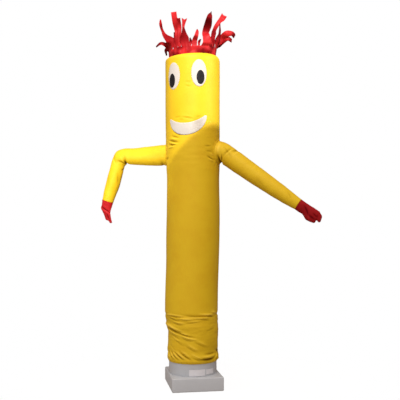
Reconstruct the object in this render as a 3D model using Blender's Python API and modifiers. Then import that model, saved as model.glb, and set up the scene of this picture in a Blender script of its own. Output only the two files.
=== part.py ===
"""Inflatable air dancer on its blower: a fan-blown nylon tube with sewn arms, mitts, a face and a ribbon fringe.

Run with: blender --background --python part.py
Metres, +Z up. The face looks towards -Y and the arms lie in the XZ plane. The origin is on the ground,
under the middle of the tube. Azimuths are degrees round the tube from the middle of the face, towards +X.
"""
import math
from collections import namedtuple

import bmesh
import bpy
import numpy as np
from mathutils import Matrix, Vector

COLLECTION = "inflatable_air_dancer"

# Cloth: wall of the blown pieces, of the mitts and of the flat patches, and the gap between two pieces
WALL = 0.002
MITT_WALL = 0.0015
PATCH_WALL = 0.001
GAP = 0.0003

# Blower: a round moulded housing, slightly tapered, on a square foot that is turned as it stands
DRUM_BASE = 0.0766
DRUM_TOP = 0.400
DRUM_FOOT_RADIUS = 0.1345
DRUM_TOP_RADIUS = 0.1305
DRUM_WALL = 0.006
DRUM_FLOOR = 0.010
DRUM_LIP = 0.003
DRUM_SIDES = 48
PLINTH_SIZE = Vector((0.285, 0.330, 0.0763))
PLINTH_MIDDLE = Vector((0.004, 0.0, 0.0))
PLINTH_TURN = 23.6
PLINTH_EDGE = 0.007


def drum_radius(height):
    """The housing's outer radius at a height."""
    share = (height - DRUM_BASE) / (DRUM_TOP - DRUM_BASE)
    return DRUM_FOOT_RADIUS + (DRUM_TOP_RADIUS - DRUM_FOOT_RADIUS) * share


# Head and body tube: a 12 inch tube, slack over the blower, its hem gathered tight on the housing
TUBE_RADIUS = 0.1524
HEM_HEIGHT = 0.144
HEM_SEAT = 0.0028
SHOULDER_HEIGHT = 1.817
VENT_HEIGHT = 1.851
VENT_RADIUS = 0.128
TUBE_SIDES = 40
CROWN_STEPS = 4

# How closely the tube's rings follow each other: up to this height, a ring about each so many metres
RingSpan = namedtuple("RingSpan", "top step")
RING_SPANS = (
    RingSpan(0.425, 0.0128),
    RingSpan(1.225, 0.115),
    RingSpan(1.425, 0.0286),
    RingSpan(SHOULDER_HEIGHT, 0.056),
)

# The tube's section at a height: its radius, and how far its middle sways towards +X
TubeRow = namedtuple("TubeRow", "height radius sway")
TUBE_ROWS = (
    TubeRow(HEM_HEIGHT, drum_radius(HEM_HEIGHT) + HEM_SEAT, 0.000),
    TubeRow(0.157, 0.1448, 0.001),
    TubeRow(0.172, 0.1450, 0.001),
    TubeRow(0.203, 0.1430, 0.000),
    TubeRow(0.243, 0.1437, 0.000),
    TubeRow(0.282, 0.1430, 0.002),
    TubeRow(0.327, 0.1462, -0.001),
    TubeRow(0.361, 0.1467, -0.002),
    TubeRow(0.393, 0.1473, -0.006),
    TubeRow(0.406, 0.1442, -0.007),
    TubeRow(0.420, 0.1490, -0.009),
    TubeRow(0.480, 0.1497, -0.010),
    TubeRow(0.593, 0.1500, -0.005),
    TubeRow(0.762, 0.1500, 0.000),
    TubeRow(1.225, 0.1505, 0.000),
    TubeRow(1.411, 0.1520, -0.001),
    TubeRow(1.600, TUBE_RADIUS, -0.001),
    TubeRow(SHOULDER_HEIGHT, TUBE_RADIUS, -0.001),
)

# Folds in the tube: middle, half length along the fold, rise towards +X in degrees, half width, lift
Fold = namedtuple("Fold", "azimuth height reach slope spread lift")
TUBE_FOLDS = (
    Fold(-23, 0.325, 0.105, -16, 0.011, -0.0055),
    Fold(-26, 0.350, 0.090, -15, 0.011, 0.0040),
    Fold(2, 0.288, 0.062, -13, 0.010, 0.0040),
    Fold(-14, 0.372, 0.055, -6, 0.009, -0.0030),
    Fold(52, 0.414, 0.070, 2, 0.009, 0.0035),
    Fold(-33, 0.188, 0.050, -35, 0.010, -0.0035),
    Fold(-13, 0.192, 0.048, -32, 0.010, -0.0035),
    Fold(-22, 0.182, 0.052, -32, 0.009, 0.0040),
    Fold(14, 0.184, 0.062, -27, 0.010, 0.0040),
    Fold(56, 0.170, 0.085, 9, 0.011, -0.0050),
    Fold(60, 0.190, 0.075, 12, 0.010, 0.0035),
    Fold(94, 0.201, 0.034, 25, 0.010, -0.0050),
    Fold(150, 0.330, 0.100, 14, 0.011, -0.0045),
    Fold(205, 0.300, 0.085, -18, 0.011, -0.0050),
    Fold(200, 0.324, 0.085, -18, 0.011, 0.0035),
    Fold(165, 0.185, 0.090, 20, 0.011, -0.0040),
    Fold(235, 0.190, 0.070, -24, 0.011, 0.0040),
    Fold(59, 1.268, 0.036, -26, 0.012, -0.0045),
    Fold(-57, 1.262, 0.034, 24, 0.012, -0.0035),
    Fold(122, 1.262, 0.040, 28, 0.012, -0.0040),
    Fold(238, 1.262, 0.040, -26, 0.012, -0.0040),
)

# Arms and mitts: each section runs from its top edge to its low edge in the XZ plane, and is depth times as
# thick towards the viewer as it is tall
LimbRow = namedtuple("LimbRow", "top_x top_z low_x low_z depth")
ARM_RIGHT_ROWS = (
    LimbRow(0.152, 1.3740, 0.150, 1.2440, 1.00),
    LimbRow(0.192, 1.3610, 0.166, 1.2530, 1.00),
    LimbRow(0.232, 1.3350, 0.181, 1.2410, 1.00),
    LimbRow(0.288, 1.2945, 0.232, 1.2010, 1.00),
    LimbRow(0.330, 1.2625, 0.274, 1.1735, 1.00),
    LimbRow(0.372, 1.2303, 0.316, 1.1444, 1.00),
    LimbRow(0.455, 1.1674, 0.400, 1.0911, 1.00),
    LimbRow(0.537, 1.1035, 0.488, 1.0367, 1.00),
    LimbRow(0.575, 1.0720, 0.533, 1.0110, 0.98),
    LimbRow(0.6107, 1.0430, 0.5758, 0.9898, 0.92),
)
ARM_LEFT_ROWS = (
    LimbRow(-0.150, 1.3615, -0.150, 1.2396, 1.00),
    LimbRow(-0.205, 1.3560, -0.205, 1.2411, 1.00),
    LimbRow(-0.277, 1.3500, -0.277, 1.2441, 1.00),
    LimbRow(-0.350, 1.3440, -0.346, 1.2483, 1.00),
    LimbRow(-0.415, 1.3390, -0.379, 1.2500, 0.98),
    LimbRow(-0.460, 1.3200, -0.3965, 1.2485, 0.92),
    LimbRow(-0.484, 1.2800, -0.4060, 1.2400, 0.92),
    LimbRow(-0.500, 1.2330, -0.4120, 1.2150, 0.98),
    LimbRow(-0.5124, 1.1924, -0.4211, 1.1766, 1.00),
    LimbRow(-0.5242, 1.1460, -0.4377, 1.1276, 1.00),
    LimbRow(-0.5341, 1.0995, -0.4580, 1.0814, 0.98),
    LimbRow(-0.5422, 1.0500, -0.4800, 1.0305, 0.92),
)
MITT_RIGHT_ROWS = (
    LimbRow(0.6113, 1.0426, 0.5764, 0.9894, 0.90),
    LimbRow(0.6300, 1.0290, 0.5940, 0.9760, 0.72),
    LimbRow(0.6480, 1.0165, 0.6130, 0.9640, 0.56),
    LimbRow(0.6660, 1.0050, 0.6270, 0.9460, 0.48),
    LimbRow(0.6830, 0.9935, 0.6450, 0.9300, 0.44),
    LimbRow(0.6980, 0.9835, 0.6640, 0.9200, 0.40),
    LimbRow(0.7100, 0.9740, 0.6830, 0.9230, 0.38),
    LimbRow(0.7190, 0.9590, 0.7010, 0.9280, 0.40),
)
MITT_LEFT_ROWS = (
    LimbRow(-0.5424, 1.0492, -0.4802, 1.0297, 0.90),
    LimbRow(-0.5462, 1.0260, -0.4862, 1.0090, 0.70),
    LimbRow(-0.5510, 1.0010, -0.4920, 0.9920, 0.50),
    LimbRow(-0.5440, 0.9800, -0.4945, 0.9730, 0.46),
    LimbRow(-0.5330, 0.9520, -0.4910, 0.9500, 0.44),
    LimbRow(-0.5220, 0.9320, -0.4875, 0.9330, 0.44),
    LimbRow(-0.5060, 0.9170, -0.4850, 0.9190, 0.50),
)
ARM_SIDES = 18
MITT_SIDES = 16
# A limb's root follows the round tube: its seat is this far off, and grows with the slant of the wall
ROOT_SEAT = 0.0010
ROOT_SLANT = 0.0030
# The armhole's cutter is this much smaller than the arm's root all round
ARMHOLE_INSET = 0.005
ARMHOLE_REACH = 0.10

# Face patches: eyes and pupils are ellipses on the round head
EllipseRow = namedtuple("EllipseRow", "name azimuth height half_angle half_height layer material")
ELLIPSE_ROWS = (
    EllipseRow("eye_white_right", 28.1, 1.731, 16.4, 0.0740, 0, "white nylon"),
    EllipseRow("eye_white_left", -28.9, 1.721, 16.5, 0.0740, 0, "white nylon"),
    EllipseRow("pupil_right", 31.0, 1.709, 8.4, 0.0383, 1, "black nylon"),
    EllipseRow("pupil_left", -32.5, 1.697, 8.3, 0.0383, 1, "black nylon"),
)
ELLIPSE_SIDES = 24
ELLIPSE_RINGS = 3
MOUTH_AZIMUTH = 3.2
MOUTH_HALF_ANGLE = 40.0
MOUTH_HEIGHT = 1.4967
MOUTH_TILT = 4.9
MOUTH_UPPER_SAG = 0.036
MOUTH_LOWER_SAG = 0.100
MOUTH_COLUMNS = 20
MOUTH_ROWS = 3
# How far a patch's back lies off the cloth, and off the patch below it
PATCH_SEAT = 0.0008
LAYER_SEAT = 0.0024

# Ribbon fringe: a band on the vent's rim, and ribbons cut from it. Each ribbon leaves the band at its
# azimuth, heads for its mid point and ends at its tip, both measured from its root: outwards, sideways
# towards the next azimuth, and up.
BAND_BASE = VENT_HEIGHT + GAP
BAND_TOP = 1.890
BAND_BASE_RADIUS = 0.1305
BAND_TOP_RADIUS = 0.1330
BAND_STEP = 7.0
RIBBON_WALL = 0.0015
RIBBON_STEPS = 6
Ribbon = namedtuple("Ribbon", "azimuth root mid tip mid_out mid_side mid_up out side up twist")
RIBBONS = (
    Ribbon(-90, 0.022, 0.022, 0.013, 0.022, 0.000, 0.020, 0.028, 0.000, -0.026, 10),
    Ribbon(-74, 0.028, 0.030, 0.007, 0.050, 0.004, 0.045, 0.080, -0.008, 0.018, 80),
    Ribbon(-50, 0.044, 0.042, 0.011, 0.032, -0.027, 0.067, 0.045, -0.048, 0.148, 64),
    Ribbon(-28, 0.034, 0.019, 0.028, 0.004, 0.003, 0.100, 0.014, -0.015, 0.176, 55),
    Ribbon(-13, 0.025, 0.023, 0.026, 0.018, -0.004, 0.075, 0.016, -0.012, 0.137, 20),
    Ribbon(6, 0.036, 0.022, 0.028, -0.014, -0.050, 0.071, -0.012, -0.0275, 0.139, -15),
    Ribbon(23, 0.034, 0.030, 0.005, 0.002, 0.006, 0.050, 0.004, 0.009, 0.093, 20),
    Ribbon(39, 0.023, 0.022, 0.015, 0.010, -0.006, 0.022, 0.016, -0.022, 0.022, 0),
    Ribbon(59, 0.052, 0.048, 0.007, 0.002, -0.038, 0.050, 0.004, 0.020, 0.194, -60),
    Ribbon(78, 0.021, 0.018, 0.010, -0.018, 0.000, 0.070, -0.012, 0.004, 0.130, -30),
    Ribbon(92, 0.029, 0.040, 0.022, 0.050, -0.004, 0.044, 0.094, -0.008, 0.024, 80),
    Ribbon(108, 0.031, 0.044, 0.026, 0.043, 0.004, 0.107, 0.116, 0.008, 0.088, 85),
    Ribbon(124, 0.025, 0.023, 0.013, 0.034, 0.004, 0.082, 0.030, 0.000, 0.153, -50),
    Ribbon(140, 0.025, 0.019, 0.036, -0.010, 0.018, 0.095, 0.060, -0.054, 0.228, 45),
    Ribbon(157, 0.034, 0.030, 0.016, 0.000, 0.004, 0.080, 0.026, -0.012, 0.120, 30),
    Ribbon(175, 0.033, 0.030, 0.018, 0.034, 0.000, 0.060, 0.078, 0.010, 0.040, 10),
    Ribbon(193, 0.035, 0.030, 0.012, 0.016, 0.004, 0.050, 0.045, 0.020, 0.075, -20),
    Ribbon(211, 0.034, 0.027, 0.020, 0.010, -0.006, 0.060, 0.034, -0.010, 0.115, 35),
    Ribbon(229, 0.035, 0.028, 0.012, 0.004, 0.000, 0.070, 0.028, 0.010, 0.130, -30),
    Ribbon(246, 0.027, 0.020, 0.010, 0.004, 0.000, 0.050, 0.004, 0.000, 0.118, 30),
    Ribbon(260, 0.018, 0.018, 0.012, 0.020, 0.000, 0.040, 0.050, 0.006, 0.046, 0),
)

# Blank label plates on the housing's foot: azimuth, width, lowest and highest point, thickness
PlateRow = namedtuple("PlateRow", "name azimuth width low high wall")
PLATE_ROWS = (
    PlateRow("label_plate_front", 25.4, 0.091, 0.0785, 0.1140, 0.0015),
    PlateRow("label_plate_side", 59.0, 0.054, 0.0840, 0.1120, 0.0010),
)
PLATE_COLUMNS = 8

# Colour, roughness and metallic value of each material
FINISHES = {
    "yellow nylon": ((0.92, 0.66, 0.04), 0.55, 0.0),
    "red nylon": ((0.72, 0.03, 0.03), 0.50, 0.0),
    "white nylon": ((0.93, 0.88, 0.80), 0.55, 0.0),
    "black nylon": ((0.02, 0.018, 0.02), 0.50, 0.0),
    "grey plastic": ((0.42, 0.41, 0.41), 0.45, 0.0),
    "pale label": ((0.58, 0.58, 0.60), 0.35, 0.0),
}


def clear_scene():
    """Remove every object, so that the file holds only this model."""
    for old in list(bpy.data.objects):
        bpy.data.objects.remove(old, do_unlink=True)


def make_collection(name):
    """A new collection in the scene."""
    collection = bpy.data.collections.new(name)
    bpy.context.scene.collection.children.link(collection)
    return collection


def finish_material(name, finish):
    """One Principled material for one sub-part."""
    colour, roughness, metallic = FINISHES[finish]
    material = bpy.data.materials.new(f"{finish} of {name}")
    material.use_nodes = True
    shader = material.node_tree.nodes["Principled BSDF"]
    shader.inputs["Base Color"].default_value = (*colour, 1.0)
    shader.inputs["Roughness"].default_value = roughness
    shader.inputs["Metallic"].default_value = metallic
    return material


def new_object(name, verts, faces, finish, collection):
    """A named, smooth-shaded mesh object with its own material, its faces pointing out."""
    mesh = bpy.data.meshes.new(name)
    mesh.from_pydata([tuple(v) for v in verts], [], faces)
    work = bmesh.new()
    work.from_mesh(mesh)
    bmesh.ops.recalc_face_normals(work, faces=work.faces)
    work.to_mesh(mesh)
    work.free()
    mesh.shade_smooth()
    item = bpy.data.objects.new(name, mesh)
    if finish:
        mesh.materials.append(finish_material(name, finish))
    collection.objects.link(item)
    return item


def add_wall(item, thickness, offset):
    """Give an open surface its wall: offset -1 grows it inwards, +1 outwards."""
    solidify = item.modifiers.new("wall", "SOLIDIFY")
    solidify.thickness = thickness
    solidify.offset = offset
    solidify.use_even_offset = True
    return solidify


def smooth_curve(xs, ys, x):
    """Read a smooth curve through the points (xs, ys) at x, each slope limited so that it never overshoots."""
    x = min(max(x, xs[0]), xs[-1])
    i = min(max(int(np.searchsorted(xs, x)) - 1, 0), len(xs) - 2)
    steps = np.diff(ys) / np.diff(xs)

    def slope(k):
        if k == 0 or k == len(xs) - 1 or steps[k - 1] * steps[k] <= 0:
            return 0.0
        return 2 * steps[k - 1] * steps[k] / (steps[k - 1] + steps[k])

    width = xs[i + 1] - xs[i]
    t = (x - xs[i]) / width
    return ((2 * t ** 3 - 3 * t ** 2 + 1) * ys[i] + (t ** 3 - 2 * t ** 2 + t) * width * slope(i)
            + (3 * t ** 2 - 2 * t ** 3) * ys[i + 1] + (t ** 3 - t ** 2) * width * slope(i + 1))


HEIGHTS = [row.height for row in TUBE_ROWS]
RADII = [row.radius for row in TUBE_ROWS]
SWAYS = [row.sway for row in TUBE_ROWS]


def fold_lift(azimuth, height):
    """How far the folds push the cloth out at a place on the tube."""
    total = 0.0
    for fold in TUBE_FOLDS:
        turn = (azimuth - fold.azimuth + 180.0) % 360.0 - 180.0
        across = math.radians(turn) * TUBE_RADIUS
        rise = height - fold.height
        slope = math.radians(fold.slope)
        along = across * math.cos(slope) + rise * math.sin(slope)
        off = rise * math.cos(slope) - across * math.sin(slope)
        if abs(along) < fold.reach:
            fade = (1.0 - (along / fold.reach) ** 2) ** 2
            total += fold.lift * fade * math.exp(-(off / fold.spread) ** 2)
    return total


def tube_point(azimuth, height, off=0.0):
    """A point on the tube's outer skin, or off metres outside it."""
    radius = smooth_curve(HEIGHTS, RADII, height) + fold_lift(azimuth, height) + off
    sway = smooth_curve(HEIGHTS, SWAYS, height)
    angle = math.radians(azimuth)
    return Vector((sway + radius * math.sin(angle), -radius * math.cos(angle), height))


def ring_heights():
    """The heights of the tube's rings, from the hem to the shoulder."""
    heights = [TUBE_ROWS[0].height]
    for span in RING_SPANS:
        low = heights[-1]
        count = max(1, round((span.top - low) / span.step))
        heights += [low + (span.top - low) * (k + 1) / count for k in range(count)]
    return heights


def loft(rings, closed_start=False, closed_end=False):
    """Vertices and faces of a surface through rings of equal count, with flat ends where asked."""
    count = len(rings[0])
    verts = [point for ring in rings for point in ring]
    faces = []
    for r in range(len(rings) - 1):
        for k in range(count):
            a, b = r * count + k, r * count + (k + 1) % count
            faces.append((a, b, b + count, a + count))
    if closed_start:
        faces.append(tuple(range(count - 1, -1, -1)))
    if closed_end:
        faces.append(tuple(range((len(rings) - 1) * count, len(rings) * count)))
    return verts, faces


def make_tube(collection, cutters):
    """Body and head: one hollow tube, open at the hem and at the vent, with an armhole on each side."""
    turns = [360.0 * k / TUBE_SIDES for k in range(TUBE_SIDES)]
    rings = [[tube_point(turn, height) for turn in turns] for height in ring_heights()]
    for step in range(1, CROWN_STEPS + 1):
        bend = math.radians(90.0 * step / CROWN_STEPS)
        radius = VENT_RADIUS + (TUBE_RADIUS - VENT_RADIUS) * math.cos(bend)
        height = SHOULDER_HEIGHT + (VENT_HEIGHT - SHOULDER_HEIGHT) * math.sin(bend)
        off = radius - TUBE_RADIUS
        ring = [tube_point(turn, SHOULDER_HEIGHT, off) for turn in turns]
        rings.append([Vector((p.x, p.y, height)) for p in ring])
    tube = new_object("body_tube", *loft(rings), "yellow nylon", collection)
    add_wall(tube, WALL, -1.0)
    for side, rows in (("left", ARM_LEFT_ROWS), ("right", ARM_RIGHT_ROWS)):
        cut = tube.modifiers.new(f"armhole {side}", "BOOLEAN")
        cut.operation = "DIFFERENCE"
        cut.solver = "EXACT"
        cut.object = armhole_cutter(side, rows[0], cutters)
    return tube


def armhole_cutter(side, row, cutters):
    """A level cylinder through the tube's wall, a little smaller than the arm that is sewn there."""
    bpy.ops.mesh.primitive_cylinder_add(vertices=ARM_SIDES, radius=1.0, depth=ARMHOLE_REACH)
    cutter = bpy.context.object
    cutter.name = f"armhole_{side}_cutter"
    half_height = abs(row.top_z - row.low_z) / 2 - ARMHOLE_INSET
    turn = Matrix.Rotation(math.radians(90), 4, "Y")
    size = Matrix.Diagonal((half_height, half_height * row.depth, 1.0, 1.0))
    cutter.data.transform(turn @ size)
    cutter.location = ((row.top_x + row.low_x) / 2, 0.0, (row.top_z + row.low_z) / 2)
    cutter.hide_render = True
    cutter.display_type = "WIRE"
    for home in list(cutter.users_collection):
        home.objects.unlink(cutter)
    cutters.objects.link(cutter)
    return cutter


def limb_ring(row, sides):
    """The oval section of a limb between its top edge and its low edge."""
    top, low = Vector((row.top_x, 0.0, row.top_z)), Vector((row.low_x, 0.0, row.low_z))
    middle, half = (top + low) / 2, (top - low) / 2
    ring = []
    for k in range(sides):
        angle = 2 * math.pi * k / sides
        ring.append(middle + half * math.cos(angle)
                    + Vector((0.0, -half.length * row.depth * math.sin(angle), 0.0)))
    return ring


def seat_on_tube(ring, side):
    """Move a limb's first ring along X until it lies on the round tube."""
    seated = []
    for p in ring:
        azimuth = math.degrees(math.asin(max(-1.0, min(1.0, p.y / TUBE_RADIUS))))
        azimuth = 90.0 + azimuth if side > 0 else -90.0 - azimuth
        slant = abs(p.y) / TUBE_RADIUS * ROOT_SLANT
        skin = tube_point(azimuth, p.z, ROOT_SEAT + slant)
        seated.append(Vector((skin.x, p.y, p.z)))
    return seated


def make_arm(name, rows, side, collection):
    """A sleeve from the armhole to the wrist, hollow and open at both ends."""
    rings = [limb_ring(row, ARM_SIDES) for row in rows]
    rings[0] = seat_on_tube(rings[0], side)
    arm = new_object(name, *loft(rings), "yellow nylon", collection)
    add_wall(arm, WALL, -1.0)
    return arm


def make_mitt(name, rows, collection):
    """A red mitt, open at the cuff and sewn shut at the finger end."""
    rings = [limb_ring(row, MITT_SIDES) for row in rows]
    mitt = new_object(name, *loft(rings, closed_end=True), "red nylon", collection)
    add_wall(mitt, MITT_WALL, -1.0)
    return mitt


def make_ellipse(row, collection):
    """An oval patch that follows the round head."""
    off = PATCH_SEAT + row.layer * (LAYER_SEAT - PATCH_SEAT)
    verts = [tube_point(row.azimuth, row.height, off)]
    for ring in range(1, ELLIPSE_RINGS + 1):
        share = ring / ELLIPSE_RINGS
        for k in range(ELLIPSE_SIDES):
            angle = 2 * math.pi * k / ELLIPSE_SIDES
            azimuth = row.azimuth + row.half_angle * share * math.cos(angle)
            verts.append(tube_point(azimuth, row.height + row.half_height * share * math.sin(angle), off))
    faces = [(0, 1 + k, 1 + (k + 1) % ELLIPSE_SIDES) for k in range(ELLIPSE_SIDES)]
    for ring in range(ELLIPSE_RINGS - 1):
        start = 1 + ring * ELLIPSE_SIDES
        for k in range(ELLIPSE_SIDES):
            a, b = start + k, start + (k + 1) % ELLIPSE_SIDES
            faces.append((a, a + ELLIPSE_SIDES, b + ELLIPSE_SIDES, b))
    patch = new_object(row.name, verts, faces, row.material, collection)
    face_away(patch, row.azimuth)
    add_wall(patch, PATCH_WALL, 1.0)
    return patch


def face_away(patch, azimuth):
    """Turn an open patch's faces so that they look away from the tube."""
    angle = math.radians(azimuth)
    outwards = Vector((math.sin(angle), -math.cos(angle), 0.0))
    if patch.data.polygons[0].normal.dot(outwards) < 0:
        patch.data.flip_normals()


def make_mouth(collection):
    """The smile: a crescent patch between two arcs that meet at its corners."""
    verts, columns = [], []
    for c in range(MOUTH_COLUMNS + 1):
        share = 2.0 * c / MOUTH_COLUMNS - 1.0
        azimuth = MOUTH_AZIMUTH + MOUTH_HALF_ANGLE * share
        across = math.radians(MOUTH_HALF_ANGLE * share) * TUBE_RADIUS
        chord = MOUTH_HEIGHT + across * math.tan(math.radians(MOUTH_TILT))
        bow = 1.0 - share ** 2
        upper, lower = chord - MOUTH_UPPER_SAG * bow, chord - MOUTH_LOWER_SAG * bow
        corner = c in (0, MOUTH_COLUMNS)
        column = []
        for r in range(1 if corner else MOUTH_ROWS + 1):
            height = upper + (lower - upper) * r / MOUTH_ROWS
            column.append(len(verts))
            verts.append(tube_point(azimuth, height, PATCH_SEAT))
        columns.append(column)
    faces = []
    for left, right in zip(columns, columns[1:]):
        for r in range(MOUTH_ROWS):
            a, b = left[min(r, len(left) - 1)], left[min(r + 1, len(left) - 1)]
            c, d = right[min(r + 1, len(right) - 1)], right[min(r, len(right) - 1)]
            faces.append(tuple(dict.fromkeys((a, b, c, d))))
    mouth = new_object("mouth", verts, faces, "white nylon", collection)
    face_away(mouth, MOUTH_AZIMUTH)
    add_wall(mouth, PATCH_WALL, 1.0)
    return mouth


def around(azimuth, radius, height):
    """A point on a circle round the origin's axis."""
    angle = math.radians(azimuth)
    return Vector((radius * math.sin(angle), -radius * math.cos(angle), height))


def ribbon_sections(ribbon):
    """The four corners of a ribbon at each step after its root: outer and inner edge at each side."""
    angle = math.radians(ribbon.azimuth)
    outwards = Vector((math.sin(angle), -math.cos(angle), 0.0))
    sideways = Vector((math.cos(angle), math.sin(angle), 0.0))
    root = around(ribbon.azimuth, BAND_TOP_RADIUS - WALL / 2, BAND_TOP)
    mid = root + outwards * ribbon.mid_out + sideways * ribbon.mid_side + Vector((0, 0, ribbon.mid_up))
    tip = root + outwards * ribbon.out + sideways * ribbon.side + Vector((0, 0, ribbon.up))
    sections = []
    for step in range(1, RIBBON_STEPS + 1):
        t = step / RIBBON_STEPS
        middle = root * (1 - t) ** 2 + mid * 2 * t * (1 - t) + tip * t ** 2
        heading = ((mid - root) * (1 - t) + (tip - mid) * t).normalized()
        turn = math.radians(ribbon.twist) * math.sin(t * math.pi / 2)
        across = Matrix.Rotation(turn, 3, heading) @ sideways
        across = (across - heading * across.dot(heading)).normalized()
        outer = across.cross(heading)
        width = smooth_curve((0.0, 0.5, 1.0), (ribbon.root, ribbon.mid, ribbon.tip), t)
        half, deep = across * width / 2, outer * RIBBON_WALL / 2
        sections.append([middle - half + deep, middle + half + deep, middle + half - deep,
                         middle - half - deep])
    return sections


def make_fringe(collection):
    """The hair: one band round the vent whose top is cut into ribbons, as one solid."""
    spans = []
    for index, ribbon in enumerate(RIBBONS):
        half = math.degrees(ribbon.root / 2 / BAND_TOP_RADIUS)
        following = RIBBONS[(index + 1) % len(RIBBONS)]
        gap_end = following.azimuth - math.degrees(following.root / 2 / BAND_TOP_RADIUS)
        gap_end += 360.0 if index == len(RIBBONS) - 1 else 0.0
        spans.append((ribbon.azimuth - half, ribbon))
        spans.append((ribbon.azimuth + half, None))
        spare = gap_end - ribbon.azimuth - half
        extra = int(spare // BAND_STEP)
        spans += [(ribbon.azimuth + half + spare * (k + 1) / (extra + 1), None) for k in range(extra)]
    verts, faces = [], []
    for azimuth, _ in spans:
        verts.append(around(azimuth, BAND_BASE_RADIUS, BAND_BASE))
        verts.append(around(azimuth, BAND_TOP_RADIUS, BAND_TOP))
        verts.append(around(azimuth, BAND_TOP_RADIUS - WALL, BAND_TOP))
        verts.append(around(azimuth, BAND_BASE_RADIUS - WALL, BAND_BASE))
    corners = 4
    for k, (_, ribbon) in enumerate(spans):
        a, b = k * corners, (k + 1) % len(spans) * corners
        faces += [(a, b, b + 1, a + 1), (a + 2, b + 2, b + 3, a + 3), (a + 3, b + 3, b, a)]
        section = (a + 1, b + 1, b + 2, a + 2)
        if ribbon:
            for points in ribbon_sections(ribbon):
                upper = tuple(range(len(verts), len(verts) + corners))
                verts += points
                for c in range(corners):
                    d = (c + 1) % corners
                    faces.append((section[c], section[d], upper[d], upper[c]))
                section = upper
        faces.append(section)
    return new_object("hair_fringe", verts, faces, "red nylon", collection)


def make_drum(collection):
    """Blower housing: a turned, slightly tapered drum, open at its top where the air leaves."""
    inner_top = DRUM_TOP_RADIUS - DRUM_WALL
    inner_foot = DRUM_FOOT_RADIUS - DRUM_WALL
    floor = DRUM_BASE + DRUM_FLOOR
    profile = (
        (0.0, floor), (inner_foot, floor), (inner_top, DRUM_TOP - DRUM_LIP / 2),
        (inner_top + DRUM_LIP / 2, DRUM_TOP), (DRUM_TOP_RADIUS - DRUM_LIP, DRUM_TOP),
        (DRUM_TOP_RADIUS, DRUM_TOP - DRUM_LIP), (DRUM_FOOT_RADIUS, DRUM_BASE), (0.0, DRUM_BASE),
    )
    mesh = bpy.data.meshes.new("blower_drum")
    edges = [(k, k + 1) for k in range(len(profile) - 1)]
    mesh.from_pydata([(x, 0.0, z) for x, z in profile], edges, [])
    mesh.materials.append(finish_material("blower_drum", "grey plastic"))
    drum = bpy.data.objects.new("blower_drum", mesh)
    screw = drum.modifiers.new("turn", "SCREW")
    screw.steps = screw.render_steps = DRUM_SIDES
    screw.use_merge_vertices = True
    screw.merge_threshold = 0.0001
    screw.use_smooth_shade = False
    collection.objects.link(drum)
    return drum


def make_plinth(collection):
    """The blower's foot: a low square box with softened edges, turned as it stands."""
    bpy.ops.mesh.primitive_cube_add(size=1.0)
    plinth = bpy.context.object
    plinth.name = plinth.data.name = "blower_plinth"
    plinth.data.transform(Matrix.Diagonal((*PLINTH_SIZE, 1.0)))
    plinth.location = PLINTH_MIDDLE + Vector((0.0, 0.0, PLINTH_SIZE.z / 2))
    plinth.rotation_euler.z = math.radians(PLINTH_TURN)
    bevel = plinth.modifiers.new("edges", "BEVEL")
    bevel.width = PLINTH_EDGE
    bevel.segments = 2
    plinth.data.materials.append(finish_material("blower_plinth", "grey plastic"))
    for home in list(plinth.users_collection):
        home.objects.unlink(plinth)
    collection.objects.link(plinth)
    return plinth


def make_plate(row, collection):
    """A blank label plate that follows the drum's round foot."""
    share = (row.width / 2) / DRUM_FOOT_RADIUS
    verts = []
    for c in range(PLATE_COLUMNS + 1):
        azimuth = row.azimuth + math.degrees(share) * (2.0 * c / PLATE_COLUMNS - 1.0)
        for height in (row.low, row.high):
            verts.append(around(azimuth, drum_radius(height) + PATCH_SEAT, height))
    faces = [(2 * c, 2 * c + 2, 2 * c + 3, 2 * c + 1) for c in range(PLATE_COLUMNS)]
    plate = new_object(row.name, verts, faces, "pale label", collection)
    face_away(plate, row.azimuth)
    add_wall(plate, row.wall, 1.0)
    return plate


def main():
    clear_scene()
    parts = make_collection(COLLECTION)
    cutters = make_collection("cutters")
    make_tube(parts, cutters)
    make_arm("arm_right", ARM_RIGHT_ROWS, 1, parts)
    make_arm("arm_left", ARM_LEFT_ROWS, -1, parts)
    make_mitt("hand_right", MITT_RIGHT_ROWS, parts)
    make_mitt("hand_left", MITT_LEFT_ROWS, parts)
    for row in ELLIPSE_ROWS:
        make_ellipse(row, parts)
    make_mouth(parts)
    make_fringe(parts)
    make_drum(parts)
    make_plinth(parts)
    for row in PLATE_ROWS:
        make_plate(row, parts)


main()
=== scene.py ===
"""Inflatable air dancer: the dressed model, laid out as a Blender add-on and run as a script.

Metres, +Z up, face towards -Y. Azimuths are degrees round the tube from the middle of the face, towards +X.
"""
import math
from collections import namedtuple

import bmesh
import bpy
import numpy as np
from bpy.props import FloatProperty, FloatVectorProperty, PointerProperty
from mathutils import Matrix, Vector, noise


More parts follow.
